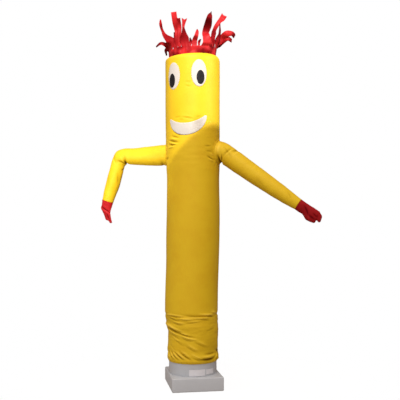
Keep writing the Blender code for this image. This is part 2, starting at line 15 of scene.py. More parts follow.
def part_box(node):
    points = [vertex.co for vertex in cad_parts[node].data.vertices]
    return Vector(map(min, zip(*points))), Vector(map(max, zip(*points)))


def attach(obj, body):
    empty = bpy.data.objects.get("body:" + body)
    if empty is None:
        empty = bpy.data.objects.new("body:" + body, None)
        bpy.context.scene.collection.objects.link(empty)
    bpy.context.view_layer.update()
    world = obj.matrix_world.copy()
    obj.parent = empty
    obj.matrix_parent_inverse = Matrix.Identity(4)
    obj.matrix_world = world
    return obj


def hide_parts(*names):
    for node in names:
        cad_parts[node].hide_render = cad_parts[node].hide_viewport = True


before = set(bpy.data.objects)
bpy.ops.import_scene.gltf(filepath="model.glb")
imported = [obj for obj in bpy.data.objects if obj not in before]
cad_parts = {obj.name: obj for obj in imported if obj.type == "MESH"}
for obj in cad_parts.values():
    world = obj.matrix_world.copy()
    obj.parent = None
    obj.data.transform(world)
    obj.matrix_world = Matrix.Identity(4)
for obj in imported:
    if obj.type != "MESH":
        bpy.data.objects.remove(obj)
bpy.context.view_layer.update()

bl_info = {
    "name": "Inflatable air dancer",
    "version": (1, 0, 0),
    "blender": (4, 5, 0),
    "location": "View3D > Sidebar > Air dancer",
    "description": "Sews and dresses a fan-blown nylon tube figure on its blower",
    "category": "Add Mesh",
}

BODY = "root"
TUBE_LOW, TUBE_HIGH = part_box("body_tube")
DRUM_LOW, DRUM_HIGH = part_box("blower_drum")
PLINTH_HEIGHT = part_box("blower_plinth")[1].z

# Head and body tube
TUBE_RADIUS = 0.1524
SHOULDER_HEIGHT = 1.817
VENT_HEIGHT = TUBE_HIGH.z
VENT_RADIUS = 0.128
HEM_HEIGHT = TUBE_LOW.z
DRUM_FOOT_RADIUS = (DRUM_HIGH.x - DRUM_LOW.x) / 2
DRUM_TOP_RADIUS = 0.1305
HEM_SEAT = 0.0028


def drum_radius(height):
    """The blower housing's outer radius at a height."""
    share = (height - DRUM_LOW.z) / (DRUM_HIGH.z - DRUM_LOW.z)
    return DRUM_FOOT_RADIUS + (DRUM_TOP_RADIUS - DRUM_FOOT_RADIUS) * share


# The tube's section at a height: radius, sway of its middle towards +X, and how slack its cloth is
TubeRow = namedtuple("TubeRow", "height radius sway slack")
TUBE_ROWS = (
    TubeRow(HEM_HEIGHT, drum_radius(HEM_HEIGHT) + HEM_SEAT, 0, 0.4),
    TubeRow(0.157, 0.1445, 0.002, 1),
    TubeRow(0.172, 0.1447, 0.002, 1),
    TubeRow(0.203, 0.142, -0.0005, 1),
    TubeRow(0.243, 0.1422, 0.002, 0.7),
    TubeRow(0.282, 0.1418, 0.003, 0.8),
    TubeRow(0.308, 0.142, 0.003, 0.9),
    TubeRow(0.327, 0.145, 0, 1),
    TubeRow(0.345, 0.1468, -0.003, 0.9),
    TubeRow(0.361, 0.1457, -0.0035, 0.9),
    TubeRow(0.393, 0.1478, -0.007, 0.9),
    TubeRow(0.406, 0.1455, -0.0078, 0.9),
    TubeRow(0.42, 0.1488, -0.0085, 0.6),
    TubeRow(0.48, 0.1488, -0.008, 0.2),
    TubeRow(0.547, 0.1485, -0.0065, 0.1),
    TubeRow(0.683, 0.1485, -0.002, 0.1),
    TubeRow(0.818, 0.15, 0, 0.1),
    TubeRow(0.999, 0.1492, 0.0025, 0.1),
    TubeRow(1.165, 0.1472, 0.002, 0.2),
    TubeRow(1.225, 0.1492, 0.001, 0.4),
    TubeRow(1.411, 0.152, -0.0005, 0.35),
    TubeRow(1.6, 0.1528, -0.001, 0.1),
    TubeRow(SHOULDER_HEIGHT, 0.153, -0.001, 0.1),
)

# Rings of the fine mesh: up to this height, one about each so many metres
RingSpan = namedtuple("RingSpan", "top step")
RING_SPANS = (
    RingSpan(0.428, 0.0031),
    RingSpan(1.205, 0.0185),
    RingSpan(1.430, 0.0030),
    RingSpan(1.505, 0.0042),
    RingSpan(1.640, 0.0150),
    RingSpan(1.700, 0.0045),
    RingSpan(SHOULDER_HEIGHT, 0.0117),
)
TUBE_SIDES = 184
CROWN_STEPS = 8
# The vent's rim hangs lower on one side of the head
DROOP = 0.014
DROOP_AZIMUTH = -70.0

# Folds: middle, half length along the fold, rise in degrees, half width, lift, sharpness of its crest, and
# how far its ends curve up. On a limb the azimuth runs from its top edge and the height is the length from
# its root.
# A fold's lift also paints shade into its trough and a highlight onto its crest
Fold = namedtuple("Fold", "azimuth height reach slope spread lift sharp bow", defaults=(1.5, 0.0))
TUBE_FOLDS = (
    # the crease over the housing's rim
    Fold(-29, 0.3996, 0.11, -1.2, 0.0034, -0.005),
    Fold(27, 0.404, 0.105, -1.6, 0.0032, -0.005, 1.4),
    Fold(-18, 0.408, 0.09, -3, 0.004, 0.006, 1.6),
    Fold(-44, 0.4075, 0.05, 3, 0.0036, 0.0056, 1.6),
    Fold(52, 0.4125, 0.07, -4, 0.0042, 0.0085),
    Fold(72, 0.4205, 0.04, -14, 0.0036, 0.006),
    Fold(62, 0.401, 0.04, -10, 0.0036, -0.006),
    Fold(36, 0.3965, 0.08, -1.5, 0.0042, 0.006),
    Fold(0, 0.392, 0.06, -4, 0.0042, 0.006, 1.6),
    # the skirt's darker side: broad shallow troughs that mostly paint shade onto the cloth there
    Fold(100, 0.27, 0.05, 0, 0.1, -0.0034, 2),
    Fold(58, 0.22, 0.12, 0, 0.07, -0.0018, 2),
    Fold(130, 0.406, 0.12, 3, 0.0055, -0.006, 1.5, 0.002),
    Fold(235, 0.41, 0.14, -3, 0.0055, -0.006, 1.5, -0.002),
    Fold(150, 0.4165, 0.08, 2, 0.0055, 0.0045),
    Fold(225, 0.398, 0.1, -4, 0.006, 0.0048),
    # small folds under it
    Fold(-37, 0.3975, 0.046, -6, 0.0036, 0.0046, 1.6),
    Fold(-34, 0.388, 0.04, -9, 0.0034, -0.0038, 1.6),
    Fold(-22, 0.38, 0.044, -9, 0.0038, -0.0042, 1.5, 0.002),
    Fold(-16, 0.37, 0.052, -7, 0.0046, 0.005),
    Fold(-19, 0.36, 0.044, -9, 0.004, -0.0034, 1.6),
    Fold(172, 0.374, 0.06, 9, 0.0055, 0.0045),
    # the large slanting folds on the face side, and those behind
    Fold(-55, 0.346, 0.085, -9, 0.0105, 0.005, 1.9),
    Fold(-38, 0.3245, 0.102, -14, 0.0058, -0.009, 1.5, -0.004),
    Fold(-38, 0.312, 0.075, -13, 0.005, 0.0075, 1.6),
    Fold(-30, 0.3375, 0.08, -16, 0.005, 0.0065, 1.6),
    Fold(-5, 0.309, 0.042, -14, 0.004, 0.0065),
    Fold(0, 0.299, 0.066, -13, 0.0042, -0.0066, 1.4, 0.003),
    Fold(2, 0.288, 0.066, -12, 0.0042, 0.009, 1.4, 0.003),
    Fold(0, 0.276, 0.05, -12, 0.005, -0.0026, 1.6, 0.003),
    Fold(150, 0.33, 0.1, 14, 0.008, -0.0065, 1.6, 0.004),
    Fold(154, 0.345, 0.08, 13, 0.007, 0.005, 1.6),
    Fold(205, 0.3, 0.085, -18, 0.008, -0.0065, 1.6),
    Fold(200, 0.322, 0.085, -18, 0.008, 0.005, 1.6),
    Fold(112, 0.26, 0.06, 21, 0.007, -0.004, 1.6),
    Fold(262, 0.27, 0.07, 16, 0.0075, -0.004, 1.6),
    Fold(20, 0.378, 0.05, 3, 0.004, 0.0034),
    Fold(14, 0.37, 0.046, 5, 0.0036, -0.003),
    Fold(46, 0.384, 0.044, -10, 0.004, -0.0034),
    Fold(-30, 0.288, 0.06, -20, 0.0044, -0.0036),
    Fold(-28, 0.278, 0.055, -20, 0.0046, 0.004),
    Fold(-18, 0.256, 0.052, -26, 0.0042, -0.0028, 1.5, 0.003),
    Fold(30, 0.25, 0.06, -24, 0.0046, -0.003, 1.5, 0.003),
    Fold(34, 0.26, 0.055, -24, 0.005, 0.0032, 1.5, 0.003),
    Fold(10, 0.226, 0.064, -28, 0.0044, -0.0036, 1.5, 0.004),
    Fold(14, 0.235, 0.055, -28, 0.0046, 0.004, 1.5, 0.004),
    Fold(-36, 0.224, 0.05, -30, 0.0042, -0.0034, 1.5, 0.003),
    Fold(-32, 0.214, 0.052, -32, 0.0042, 0.0044, 1.5, 0.003),
    Fold(60, 0.33, 0.05, 12, 0.006, -0.0028, 1.6),
    # gathers above the hem
    Fold(-52, 0.18, 0.038, -38, 0.004, 0.0064, 1.6),
    Fold(-45, 0.1825, 0.042, -37, 0.0034, -0.0066, 1.6),
    Fold(-38, 0.185, 0.05, -36, 0.0038, 0.0074, 1.6),
    Fold(-32, 0.186, 0.048, -35, 0.0034, -0.0076, 1.6),
    Fold(-26, 0.187, 0.05, -34, 0.0038, 0.0074, 1.6),
    Fold(-19, 0.1875, 0.052, -33, 0.0036, -0.0076),
    Fold(-12, 0.189, 0.056, -31, 0.004, 0.0074, 1.5, 0.002),
    Fold(-3, 0.1865, 0.058, -30, 0.0038, -0.0076, 1.5, 0.003),
    Fold(7, 0.1885, 0.075, -27, 0.0042, 0.0066, 1.5, 0.004),
    Fold(15, 0.1785, 0.062, -26, 0.0038, -0.008, 1.5, 0.004),
    Fold(24, 0.185, 0.052, -24, 0.0042, 0.005, 1.5, 0.004),
    Fold(50, 0.167, 0.09, 1, 0.007, -0.01, 1.6, 0.011),
    Fold(52, 0.183, 0.08, 2, 0.0062, 0.006, 1.7, 0.01),
    Fold(60, 0.195, 0.056, 0, 0.0045, -0.004, 1.6, 0.004),
    Fold(78, 0.178, 0.036, 30, 0.004, 0.0064, 1.6),
    Fold(84, 0.169, 0.032, 34, 0.0036, -0.0066, 1.6),
    Fold(91, 0.203, 0.042, -14, 0.007, -0.0075, 1.7),
    Fold(96, 0.222, 0.04, -10, 0.009, 0.0025, 1.9),
    Fold(126, 0.182, 0.07, -24, 0.0048, 0.0056, 1.5, 0.004),
    Fold(134, 0.174, 0.06, -24, 0.0044, -0.0052),
    Fold(165, 0.185, 0.08, 20, 0.005, -0.0055, 1.5, 0.004),
    Fold(172, 0.176, 0.07, 20, 0.0048, 0.0054),
    Fold(205, 0.183, 0.06, -26, 0.0048, 0.0054),
    Fold(235, 0.19, 0.07, -24, 0.005, 0.0056, 1.5, 0.003),
    Fold(244, 0.18, 0.06, -24, 0.0046, -0.0076, 1.5, 0.003),
    Fold(282, 0.184, 0.055, 26, 0.0046, -0.0076),
    # pulls under the mouth's left corner
    Fold(-24, 1.408, 0.026, -34, 0.003, -0.0028),
    Fold(-14, 1.3955, 0.022, -8, 0.0032, -0.0032),
    Fold(-25, 1.386, 0.037, -12, 0.0034, -0.005),
    Fold(-28, 1.3745, 0.036, -10, 0.0034, 0.0044),
    Fold(-31, 1.362, 0.052, -12, 0.0036, -0.0064, 1.5, 0.002),
    Fold(-31, 1.3515, 0.04, -10, 0.0036, 0.0048),
    Fold(-35, 1.3435, 0.038, -5, 0.0034, -0.0058),
    Fold(-37, 1.3325, 0.04, 5, 0.004, 0.0042),
    # the bend across the mouth's right part, which mostly paints shade on the smile there and on the cloth
    # beside it
    Fold(27, 1.456, 0.058, 80, 0.029, -0.0034, 3),
    # above the mouth and on the brow
    Fold(-18, 1.4935, 0.027, 3, 0.0032, -0.0024),
    Fold(5, 1.487, 0.042, -12, 0.0036, -0.0028, 1.6),
    Fold(-10, 1.4785, 0.02, -14, 0.0032, -0.0018, 1.6),
    Fold(0, 1.4975, 0.036, -8, 0.004, 0.0016, 1.6),
    Fold(27, 1.494, 0.018, 15, 0.0032, -0.002, 1.6),
    Fold(5, 1.682, 0.022, -7, 0.0034, -0.0017, 1.6),
    Fold(5, 1.659, 0.022, -11, 0.0034, -0.0021, 1.6),
    # armpits, front and back; the first is a broad shallow trough that mostly paints shade under the right
    # arm
    Fold(80, 1.3, 0.032, 0, 0.045, -0.0034, 2),
    Fold(66, 1.285, 0.026, -50, 0.0042, -0.006),
    Fold(70, 1.274, 0.024, -40, 0.004, 0.005),
    Fold(55, 1.2705, 0.036, -24, 0.0038, -0.0062),
    Fold(57, 1.259, 0.03, -22, 0.0042, 0.0052),
    Fold(48, 1.3355, 0.03, 1, 0.0036, -0.003),
    Fold(51, 1.3075, 0.03, -5, 0.004, -0.0028),
    Fold(60, 1.29, 0.026, -18, 0.0038, 0.0034),
    Fold(-58, 1.27, 0.03, 26, 0.005, -0.0045),
    Fold(-60, 1.258, 0.026, 24, 0.0045, 0.003),
    Fold(122, 1.27, 0.04, 28, 0.0055, -0.0055),
    Fold(126, 1.348, 0.036, -24, 0.0055, -0.0038),
    Fold(238, 1.27, 0.04, -26, 0.0055, -0.0055),
    Fold(234, 1.344, 0.036, 24, 0.0055, -0.0038),
)

# Small wrinkles from smooth noise: their lift, how closely they follow each other across and up, and where
# the noise starts
Wrinkle = namedtuple("Wrinkle", "lift across up seed")
SLACK_WRINKLES = (Wrinkle(0.0017, 11, 42, 3), Wrinkle(0.0010, 30, 90, 8))
BROAD_WRINKLES = (Wrinkle(0.0009, 5, 6, 20),)
BAND_WRINKLES = (Wrinkle(0.0080, 30, 18, 41), Wrinkle(0.0030, 80, 40, 47))
# Noise of painted shade over the fringe's band: how much, and how closely its patches follow each other
BAND_SHADES = (Wrinkle(1.1, 26, 22, 61),)
# On a limb: each wrinkle's share of the limb's own lift, and how closely they follow each other
LIMB_WRINKLES = ((1.0, 26.0), (0.5, 70.0))

# Arms and mitts: sections from the top edge to the low edge in the XZ plane; depth is the width towards the
# viewer over the height
LimbRow = namedtuple("LimbRow", "top_x top_z low_x low_z depth")
ARM_RIGHT_ROWS = (
    LimbRow(0.152, 1.374, 0.15, 1.244, 1),
    LimbRow(0.192, 1.361, 0.166, 1.248, 1),
    LimbRow(0.232, 1.335, 0.181, 1.237, 1),
    LimbRow(0.288, 1.2945, 0.232, 1.201, 1),
    LimbRow(0.33, 1.2625, 0.274, 1.1735, 1),
    LimbRow(0.372, 1.2303, 0.316, 1.1444, 1),
    LimbRow(0.455, 1.1674, 0.4, 1.0911, 1),
    LimbRow(0.537, 1.1035, 0.488, 1.0367, 1),
    LimbRow(0.575, 1.072, 0.533, 1.011, 0.98),
    LimbRow(0.6107, 1.043, 0.5758, 0.9898, 0.92),
)
ARM_LEFT_ROWS = (
    LimbRow(-0.15, 1.3615, -0.15, 1.2396, 1),
    LimbRow(-0.205, 1.356, -0.205, 1.2411, 1),
    LimbRow(-0.277, 1.35, -0.277, 1.2441, 1),
    LimbRow(-0.35, 1.344, -0.346, 1.2483, 1),
    LimbRow(-0.415, 1.3425, -0.379, 1.251, 0.98),
    LimbRow(-0.457, 1.325, -0.3975, 1.25, 0.92),
    LimbRow(-0.48, 1.282, -0.408, 1.242, 0.92),
    LimbRow(-0.4935, 1.234, -0.415, 1.219, 0.98),
    LimbRow(-0.506, 1.1925, -0.4255, 1.1785, 1),
    LimbRow(-0.519, 1.1462, -0.44, 1.1285, 1),
    LimbRow(-0.532, 1.0995, -0.459, 1.0814, 0.98),
    LimbRow(-0.5422, 1.05, -0.48, 1.0305, 0.92),
)
MITT_RIGHT_ROWS = (
    LimbRow(0.6113, 1.0426, 0.5764, 0.9894, 0.9),
    LimbRow(0.63, 1.029, 0.594, 0.976, 0.72),
    LimbRow(0.648, 1.0165, 0.613, 0.964, 0.56),
    LimbRow(0.66, 1.0085, 0.6215, 0.952, 0.5),
    LimbRow(0.672, 1.001, 0.631, 0.935, 0.46),
    LimbRow(0.685, 0.9925, 0.647, 0.9255, 0.42),
    LimbRow(0.696, 0.985, 0.664, 0.919, 0.38),
    LimbRow(0.703, 0.98, 0.68, 0.9165, 0.36),
    LimbRow(0.7085, 0.976, 0.69, 0.929, 0.36),
    LimbRow(0.7115, 0.969, 0.6985, 0.9215, 0.34),
    LimbRow(0.719, 0.958, 0.707, 0.919, 0.34),
    LimbRow(0.721, 0.949, 0.713, 0.923, 0.36),
)
MITT_LEFT_ROWS = (
    LimbRow(-0.5424, 1.0492, -0.4802, 1.0297, 0.9),
    LimbRow(-0.5462, 1.026, -0.4862, 1.009, 0.7),
    LimbRow(-0.552, 0.999, -0.493, 0.989, 0.52),
    LimbRow(-0.544, 0.98, -0.4955, 0.973, 0.46),
    LimbRow(-0.533, 0.954, -0.4915, 0.952, 0.42),
    LimbRow(-0.5235, 0.932, -0.488, 0.936, 0.4),
    LimbRow(-0.506, 0.9245, -0.485, 0.922, 0.42),
    LimbRow(-0.4975, 0.912, -0.484, 0.9135, 0.5),
)
ARM_RIGHT_FOLDS = (
    Fold(180, 0.028, 0.07, 0, 0.011, -0.0085, 1.8, -0.004),
    Fold(150, 0.05, 0.045, 24, 0.007, 0.004, 1.6),
    Fold(132, 0.016, 0.046, 6, 0.0048, -0.0062),
    Fold(126, 0.027, 0.04, 10, 0.0042, 0.0048),
    Fold(128, 0.038, 0.04, 18, 0.0044, -0.0056),
    Fold(70, 0.013, 0.055, 0, 0.005, 0.004),
    Fold(66, 0.055, 0.052, -16, 0.0036, -0.0042),
    Fold(60, 0.064, 0.046, -16, 0.004, 0.0034),
    Fold(20, 0.086, 0.04, -18, 0.006, -0.0046),
    Fold(34, 0.1, 0.036, -10, 0.005, 0.0026),
    Fold(-30, 0.094, 0.045, 14, 0.006, -0.003),
    Fold(70, 0.06, 0.05, 66, 0.006, -0.0018, 1.6),
    Fold(205, 0.12, 0.03, 10, 0.006, -0.002, 1.6),
    Fold(60, 0.47, 0.03, 60, 0.005, -0.0014, 1.6),
    Fold(110, 0.3, 0.05, 72, 0.008, -0.001, 1.8),
)
ARM_LEFT_FOLDS = (
    Fold(0, 0.018, 0.06, 0, 0.007, -0.002, 1.8),
    Fold(172, 0.022, 0.06, 0, 0.008, -0.004, 1.8),
    Fold(180, 0.262, 0.07, 0, 0.009, -0.01, 1.6),
    Fold(130, 0.284, 0.052, -26, 0.0065, -0.0046, 1.5, 0.003),
    Fold(132, 0.252, 0.048, 24, 0.006, -0.0036, 1.5, 0.003),
    Fold(128, 0.268, 0.044, 0, 0.0055, 0.003),
    Fold(230, 0.284, 0.052, 26, 0.0065, -0.0046, 1.5, 0.003),
    Fold(228, 0.252, 0.048, -24, 0.006, -0.0036, 1.5, 0.003),
    Fold(60, 0.302, 0.034, 34, 0.005, -0.003),
    Fold(66, 0.312, 0.03, 34, 0.0045, 0.0026),
    Fold(180, 0.345, 0.026, 0, 0.006, -0.0036, 1.6),
    Fold(140, 0.4, 0.045, 74, 0.007, -0.0022, 1.7),
    Fold(60, 0.42, 0.05, 70, 0.008, -0.0014, 1.8),
)
MITT_RIGHT_FOLDS = (
    Fold(90, 0.06, 0.045, 62, 0.006, -0.003),
    Fold(120, 0.085, 0.03, 30, 0.0055, 0.003),
    Fold(110, 0.1, 0.03, 74, 0.005, -0.003),
    Fold(80, 0.112, 0.026, 70, 0.0045, -0.0026),
    Fold(270, 0.07, 0.045, 70, 0.006, -0.003),
)
MITT_LEFT_FOLDS = (
    # a broad shallow trough that mostly paints shade on the mitt's lower half
    Fold(70, 0.09, 0.07, 12, 0.024, -0.002, 2.4),
    Fold(90, 0.05, 0.06, 24, 0.005, -0.005, 1.4),
    Fold(90, 0.062, 0.05, 24, 0.006, 0.0026, 1.6),
    Fold(110, 0.095, 0.036, 78, 0.005, -0.0026),
    Fold(270, 0.06, 0.05, 60, 0.0055, -0.0036),
)
# A limb: the side that it is on, its sections and folds, how many points go round it and one ring about each
# so many metres, its small wrinkles' lift and noise, how much painted shade lies over its whole cloth, where
# 1 is as much as a full fold, and how far from its root a line of stitches runs round it
Limb = namedtuple("Limb", "name side rows folds sides step wrinkle seed dark stitched")
ARMS = (
    Limb("arm_right", 1, ARM_RIGHT_ROWS, ARM_RIGHT_FOLDS, 72, 0.0042, 0.0009, 6.0, 0.0, 0.0),
    Limb("arm_left", -1, ARM_LEFT_ROWS, ARM_LEFT_FOLDS, 72, 0.0042, 0.0009, 4.0, 0.0, 0.0671),
)
MITTS = (
    # The right mitt's red has painted shade laid over all of it
    Limb("hand_right", 1, MITT_RIGHT_ROWS, MITT_RIGHT_FOLDS, 56, 0.0026, 0.0011, 11.0, 0.4, 0.0),
    Limb("hand_left", -1, MITT_LEFT_ROWS, MITT_LEFT_FOLDS, 56, 0.0026, 0.0011, 17.0, 0.0, 0.0),
)
# Seams: width of the turned-in cloth beside one, how far a piece lies off what it is sewn to, how far a
# sleeve bends to meet the tube, and how far its seam's edge and crest stand off
SEAM_WIDTH = 0.006
SEAM_LIFT = 0.0009
ROOT_SEAT = 0.0007
ROOT_REACH = 0.030
FLANGE_LIFT = 0.0006
CREST_LIFT = 0.0004
# A limb's end: the length of cloth drawn in to its tip
TIP_CLOTH = 0.004

# Face patches on the round head
EllipseRow = namedtuple("EllipseRow", "name azimuth height half_angle half_height layer")
ELLIPSE_ROWS = (
    EllipseRow("eye_white_right", 28.1, 1.731, 16.4, 0.0740, 0),
    EllipseRow("eye_white_left", -28.9, 1.721, 16.5, 0.0740, 0),
    EllipseRow("pupil_right", 31.0, 1.709, 8.4, 0.0383, 1),
    EllipseRow("pupil_left", -32.5, 1.697, 8.3, 0.0383, 1),
)
ELLIPSE_SIDES = 72
ELLIPSE_RINGS = 12
MOUTH_AZIMUTH = 2.6
MOUTH_HALF_ANGLE = 42.5
MOUTH_HEIGHT = 1.4967
MOUTH_TILT = 4.9
MOUTH_UPPER_SAG = 0.036
MOUTH_UPPER_RISE = 0.041
MOUTH_LOWER_SAG = 0.1015
MOUTH_COLUMNS = 88
MOUTH_ROWS = 12
PATCH_SEAT = 0.0006
LAYER_SEAT = 0.0020
PATCH_WALL = 0.0006
PATCH_PUFF = 0.0006
# The crescent's corners are cut this close to a point, and its upper edge is rounded off towards them
MOUTH_CORNER = 0.998
MOUTH_BLUNT = 0.42
MOUTH_BLUNT_FROM = 0.84

# Ribbon fringe: the band's top edge, its radii, its mesh, its seam on the crown, and the painted shade on its
# red
BAND_TOP = 1.890
BAND_BASE_RADIUS = 0.1305
BAND_TOP_RADIUS = 0.1330
BAND_COLUMNS = 240
BAND_ROWS = 10
BAND_SEAT = 0.0008
BAND_SEAM = 0.004
BAND_PAINTED_SHADE = 0.30
# Ribbons lean out of the viewer's plane by so many degrees and bend to and fro across it by this much at each
# station, and those further round the head than this cosine face outwards instead
RIBBON_LEAN = 17.0
RIBBON_BEND = 0.008
BEHIND_SHARE = -0.45
# A ribbon is cupped by this share of its width, and its end is notched past this share of its length
RIBBON_CUP = 0.16
RIBBON_NOTCH_FROM = 0.8
# It turns to its stations' way over the first third of its length and leaves the band's line over the first
# fifth
RIBBON_TURN_RATE = 3.0
RIBBON_FREE_RATE = 5.0
RIBBON_STEPS = 30
# A ribbon leaves the band at an azimuth and runs through its stations, each given as the viewer sees it: to
# the right of the tube's middle, its height, away beyond the middle, the ribbon's width, how far it turns its
# edge to the viewer in degrees, and how much painted shade lies on its red, from 0 for flat in the light to 1
Station = namedtuple("Station", "right up away width turn dark")
Ribbon = namedtuple("Ribbon", "azimuth root ripple notch stations")
RIBBONS = (
    Ribbon(-89, 0.014, 0.0015, 0.0, (
        Station(-0.144, 1.899, 0.020, 0.020, 0, 0.7), Station(-0.152, 1.890, 0.020, 0.017, 0, 0.8),
        Station(-0.149, 1.866, 0.020, 0.009, 0, 0.9))),
    Ribbon(-80, 0.018, 0.0015, 0.0, (
        Station(-0.148, 1.911, -0.010, 0.022, 0, 0.6), Station(-0.176, 1.921, -0.015, 0.016, 10, 0.4),
        Station(-0.207, 1.908, -0.020, 0.008, 0, 0.9))),
    Ribbon(-57, 0.058, 0.0030, 0.0, (
        Station(-0.124, 1.922, -0.070, 0.052, 0, 0.55), Station(-0.150, 1.951, -0.068, 0.031, 10, 0.60),
        Station(-0.165, 1.976, -0.066, 0.021, 20, 0.45), Station(-0.177, 2.010, -0.066, 0.017, 30, 0.30),
        Station(-0.177, 2.036, -0.066, 0.005, 30, 0.45))),
    Ribbon(-39, 0.014, 0.0010, 0.0, (
        Station(-0.099, 1.934, -0.080, 0.012, 0, 0.8), Station(-0.102, 1.974, -0.080, 0.007, 0, 0.9))),
    Ribbon(-29, 0.026, 0.0018, 0.0, (
        Station(-0.086, 1.932, -0.100, 0.025, 20, 0.55), Station(-0.089, 1.974, -0.100, 0.020, 0, 0.15),
        Station(-0.096, 2.018, -0.102, 0.029, 0, 0.0), Station(-0.103, 2.067, -0.104, 0.029, 10, 0.0))),
    Ribbon(-18.5, 0.018, 0.0020, 0.5, (
        Station(-0.073, 1.930, -0.108, 0.022, 0, 0.45), Station(-0.072, 1.990, -0.110, 0.021, 20, 0.1),
        Station(-0.077, 2.036, -0.112, 0.020, 0, 0.35))),
    Ribbon(-3, 0.050, 0.0030, 0.5, (
        Station(-0.045, 1.922, -0.130, 0.052, 0, 0.60), Station(-0.048, 1.952, -0.132, 0.028, 20, 0.60),
        Station(-0.050, 1.978, -0.134, 0.014, 30, 0.30), Station(-0.047, 2.014, -0.136, 0.020, 0, 0.35),
        Station(-0.045, 2.040, -0.136, 0.028, 0, 0.20))),
    Ribbon(18, 0.028, 0.0018, 0.0, (
        Station(0.012, 1.914, -0.132, 0.028, 0, 0.35), Station(0.021, 1.936, -0.130, 0.023, 10, 0.05),
        Station(0.026, 1.960, -0.128, 0.016, 0, 0.15), Station(0.024, 1.982, -0.128, 0.004, 0, 0.5))),
    Ribbon(8, 0.010, 0.0012, 0.0, (
        Station(-0.010, 1.906, -0.134, 0.016, 0, 0.6), Station(-0.014, 1.922, -0.134, 0.008, 10, 0.8))),
    Ribbon(29, 0.012, 0.0012, 0.0, (
        Station(0.036, 1.904, -0.130, 0.014, 0, 0.3), Station(0.044, 1.914, -0.130, 0.008, 10, 0.7))),
    Ribbon(48, 0.060, 0.0035, 0.0, (
        Station(0.082, 1.900, -0.116, 0.050, 0, 0.0), Station(0.075, 1.938, -0.116, 0.040, 0, 0.0),
        Station(0.071, 1.964, -0.114, 0.036, 10, 0.35), Station(0.083, 1.998, -0.112, 0.041, 20, 0.75),
        Station(0.093, 2.034, -0.110, 0.029, 10, 0.75), Station(0.1025, 2.078, -0.108, 0.004, 0, 0.95))),
    Ribbon(71, 0.016, 0.0020, 0.0, (
        Station(0.112, 1.934, -0.080, 0.022, 0, 0.6), Station(0.117, 1.970, -0.080, 0.026, 20, 0.75),
        Station(0.121, 1.994, -0.078, 0.008, 0, 0.6))),
    Ribbon(90, 0.020, 0.0020, 0.0, (
        Station(0.136, 1.935, -0.040, 0.022, 0, 0.7), Station(0.150, 1.974, -0.040, 0.016, 20, 0.8),
        Station(0.152, 2.028, -0.036, 0.007, 0, 0.75))),
    Ribbon(104, 0.036, 0.0030, 0.8, (
        Station(0.146, 1.928, -0.010, 0.038, 0, 0.55), Station(0.163, 1.954, -0.014, 0.034, 0, 0.2),
        Station(0.190, 1.971, -0.018, 0.034, 10, 0.0), Station(0.218, 1.976, -0.020, 0.026, 0, 0.3),
        Station(0.238, 1.970, -0.020, 0.020, 0, 0.7))),
    Ribbon(116, 0.018, 0.0020, 0.6, (
        Station(0.150, 1.922, 0.010, 0.026, 0, 0.7), Station(0.172, 1.940, 0.006, 0.024, 0, 0.35),
        Station(0.196, 1.950, 0.004, 0.024, 10, 0.1), Station(0.222, 1.946, 0.004, 0.020, 0, 0.6))),
    Ribbon(128, 0.024, 0.0025, 0.2, (
        Station(0.115, 1.970, 0.050, 0.024, 10, 0.5), Station(0.123, 2.014, 0.050, 0.022, 10, 0.2),
        Station(0.147, 2.056, 0.050, 0.026, 0, 0.0), Station(0.168, 2.090, 0.050, 0.033, 0, 0.0),
        Station(0.180, 2.109, 0.050, 0.034, 0, 0.0))),
    Ribbon(143, 0.020, 0.0020, 0.0, (
        Station(0.106, 1.950, 0.080, 0.024, 0, 0.6), Station(0.103, 1.986, 0.090, 0.010, 0, 0.8))),
    Ribbon(157, 0.030, 0.0030, 0.0, (
        Station(0.082, 1.960, 0.112, 0.030, 20, 0.5), Station(0.076, 2.004, 0.132, 0.014, 0, 0.7))),
    Ribbon(175, 0.033, 0.0030, 0.4, (
        Station(0.045, 1.935, 0.158, 0.030, 0, 0.4), Station(0.056, 1.925, 0.200, 0.018, 0, 0.3))),
    Ribbon(193, 0.030, 0.0030, 0.0, (
        Station(0.004, 1.925, 0.150, 0.030, 0, 0.5), Station(0.018, 1.935, 0.182, 0.012, 0, 0.3))),
    Ribbon(211, 0.030, 0.0030, 0.4, (
        Station(-0.040, 1.945, 0.138, 0.027, 20, 0.4), Station(-0.046, 1.985, 0.160, 0.018, 0, 0.2))),
    Ribbon(229, 0.030, 0.0030, 0.0, (
        Station(-0.076, 1.935, 0.114, 0.028, 0, 0.5), Station(-0.072, 1.975, 0.132, 0.012, 0, 0.6))),
    Ribbon(246, 0.022, 0.0020, 0.0, (
        Station(-0.104, 1.935, 0.086, 0.018, 0, 0.6), Station(-0.106, 1.985, 0.088, 0.008, 0, 0.8))),
    Ribbon(260, 0.018, 0.0020, 0.0, (
        Station(-0.128, 1.918, 0.062, 0.018, 0, 0.5), Station(-0.142, 1.920, 0.086, 0.010, 0, 0.6))),
)

# Blower: the housing's wall and floor, its rounded and cut edges, and the foot's size, place and turn
DRUM_WALL = 0.006
DRUM_FLOOR = 0.010
DRUM_FILLET = 0.004
DRUM_CUT_HEIGHT = 0.003
DRUM_CUT_DEPTH = 0.001
DRUM_SIDES = 160
PLINTH_SIZE = Vector((0.285, 0.330, PLINTH_HEIGHT))
PLINTH_MIDDLE = Vector((0.004, 0.0, 0.0))
PLINTH_TURN = 23.6
PlateRow = namedtuple("PlateRow", "name azimuth width low high wall")
PLATE_ROWS = (
    PlateRow("label_plate_front", 25.4, 0.091, 0.0785, 0.1140, 0.0015),
    PlateRow("label_plate_side", 59.0, 0.054, 0.0840, 0.1120, 0.0010),
)
PLATE_SEAT = 0.0008
PLATE_WALL_SHARE = 0.6
PLATE_BEVEL = 0.0003
PLATE_COLUMNS = 40
PLATE_LINES = 14

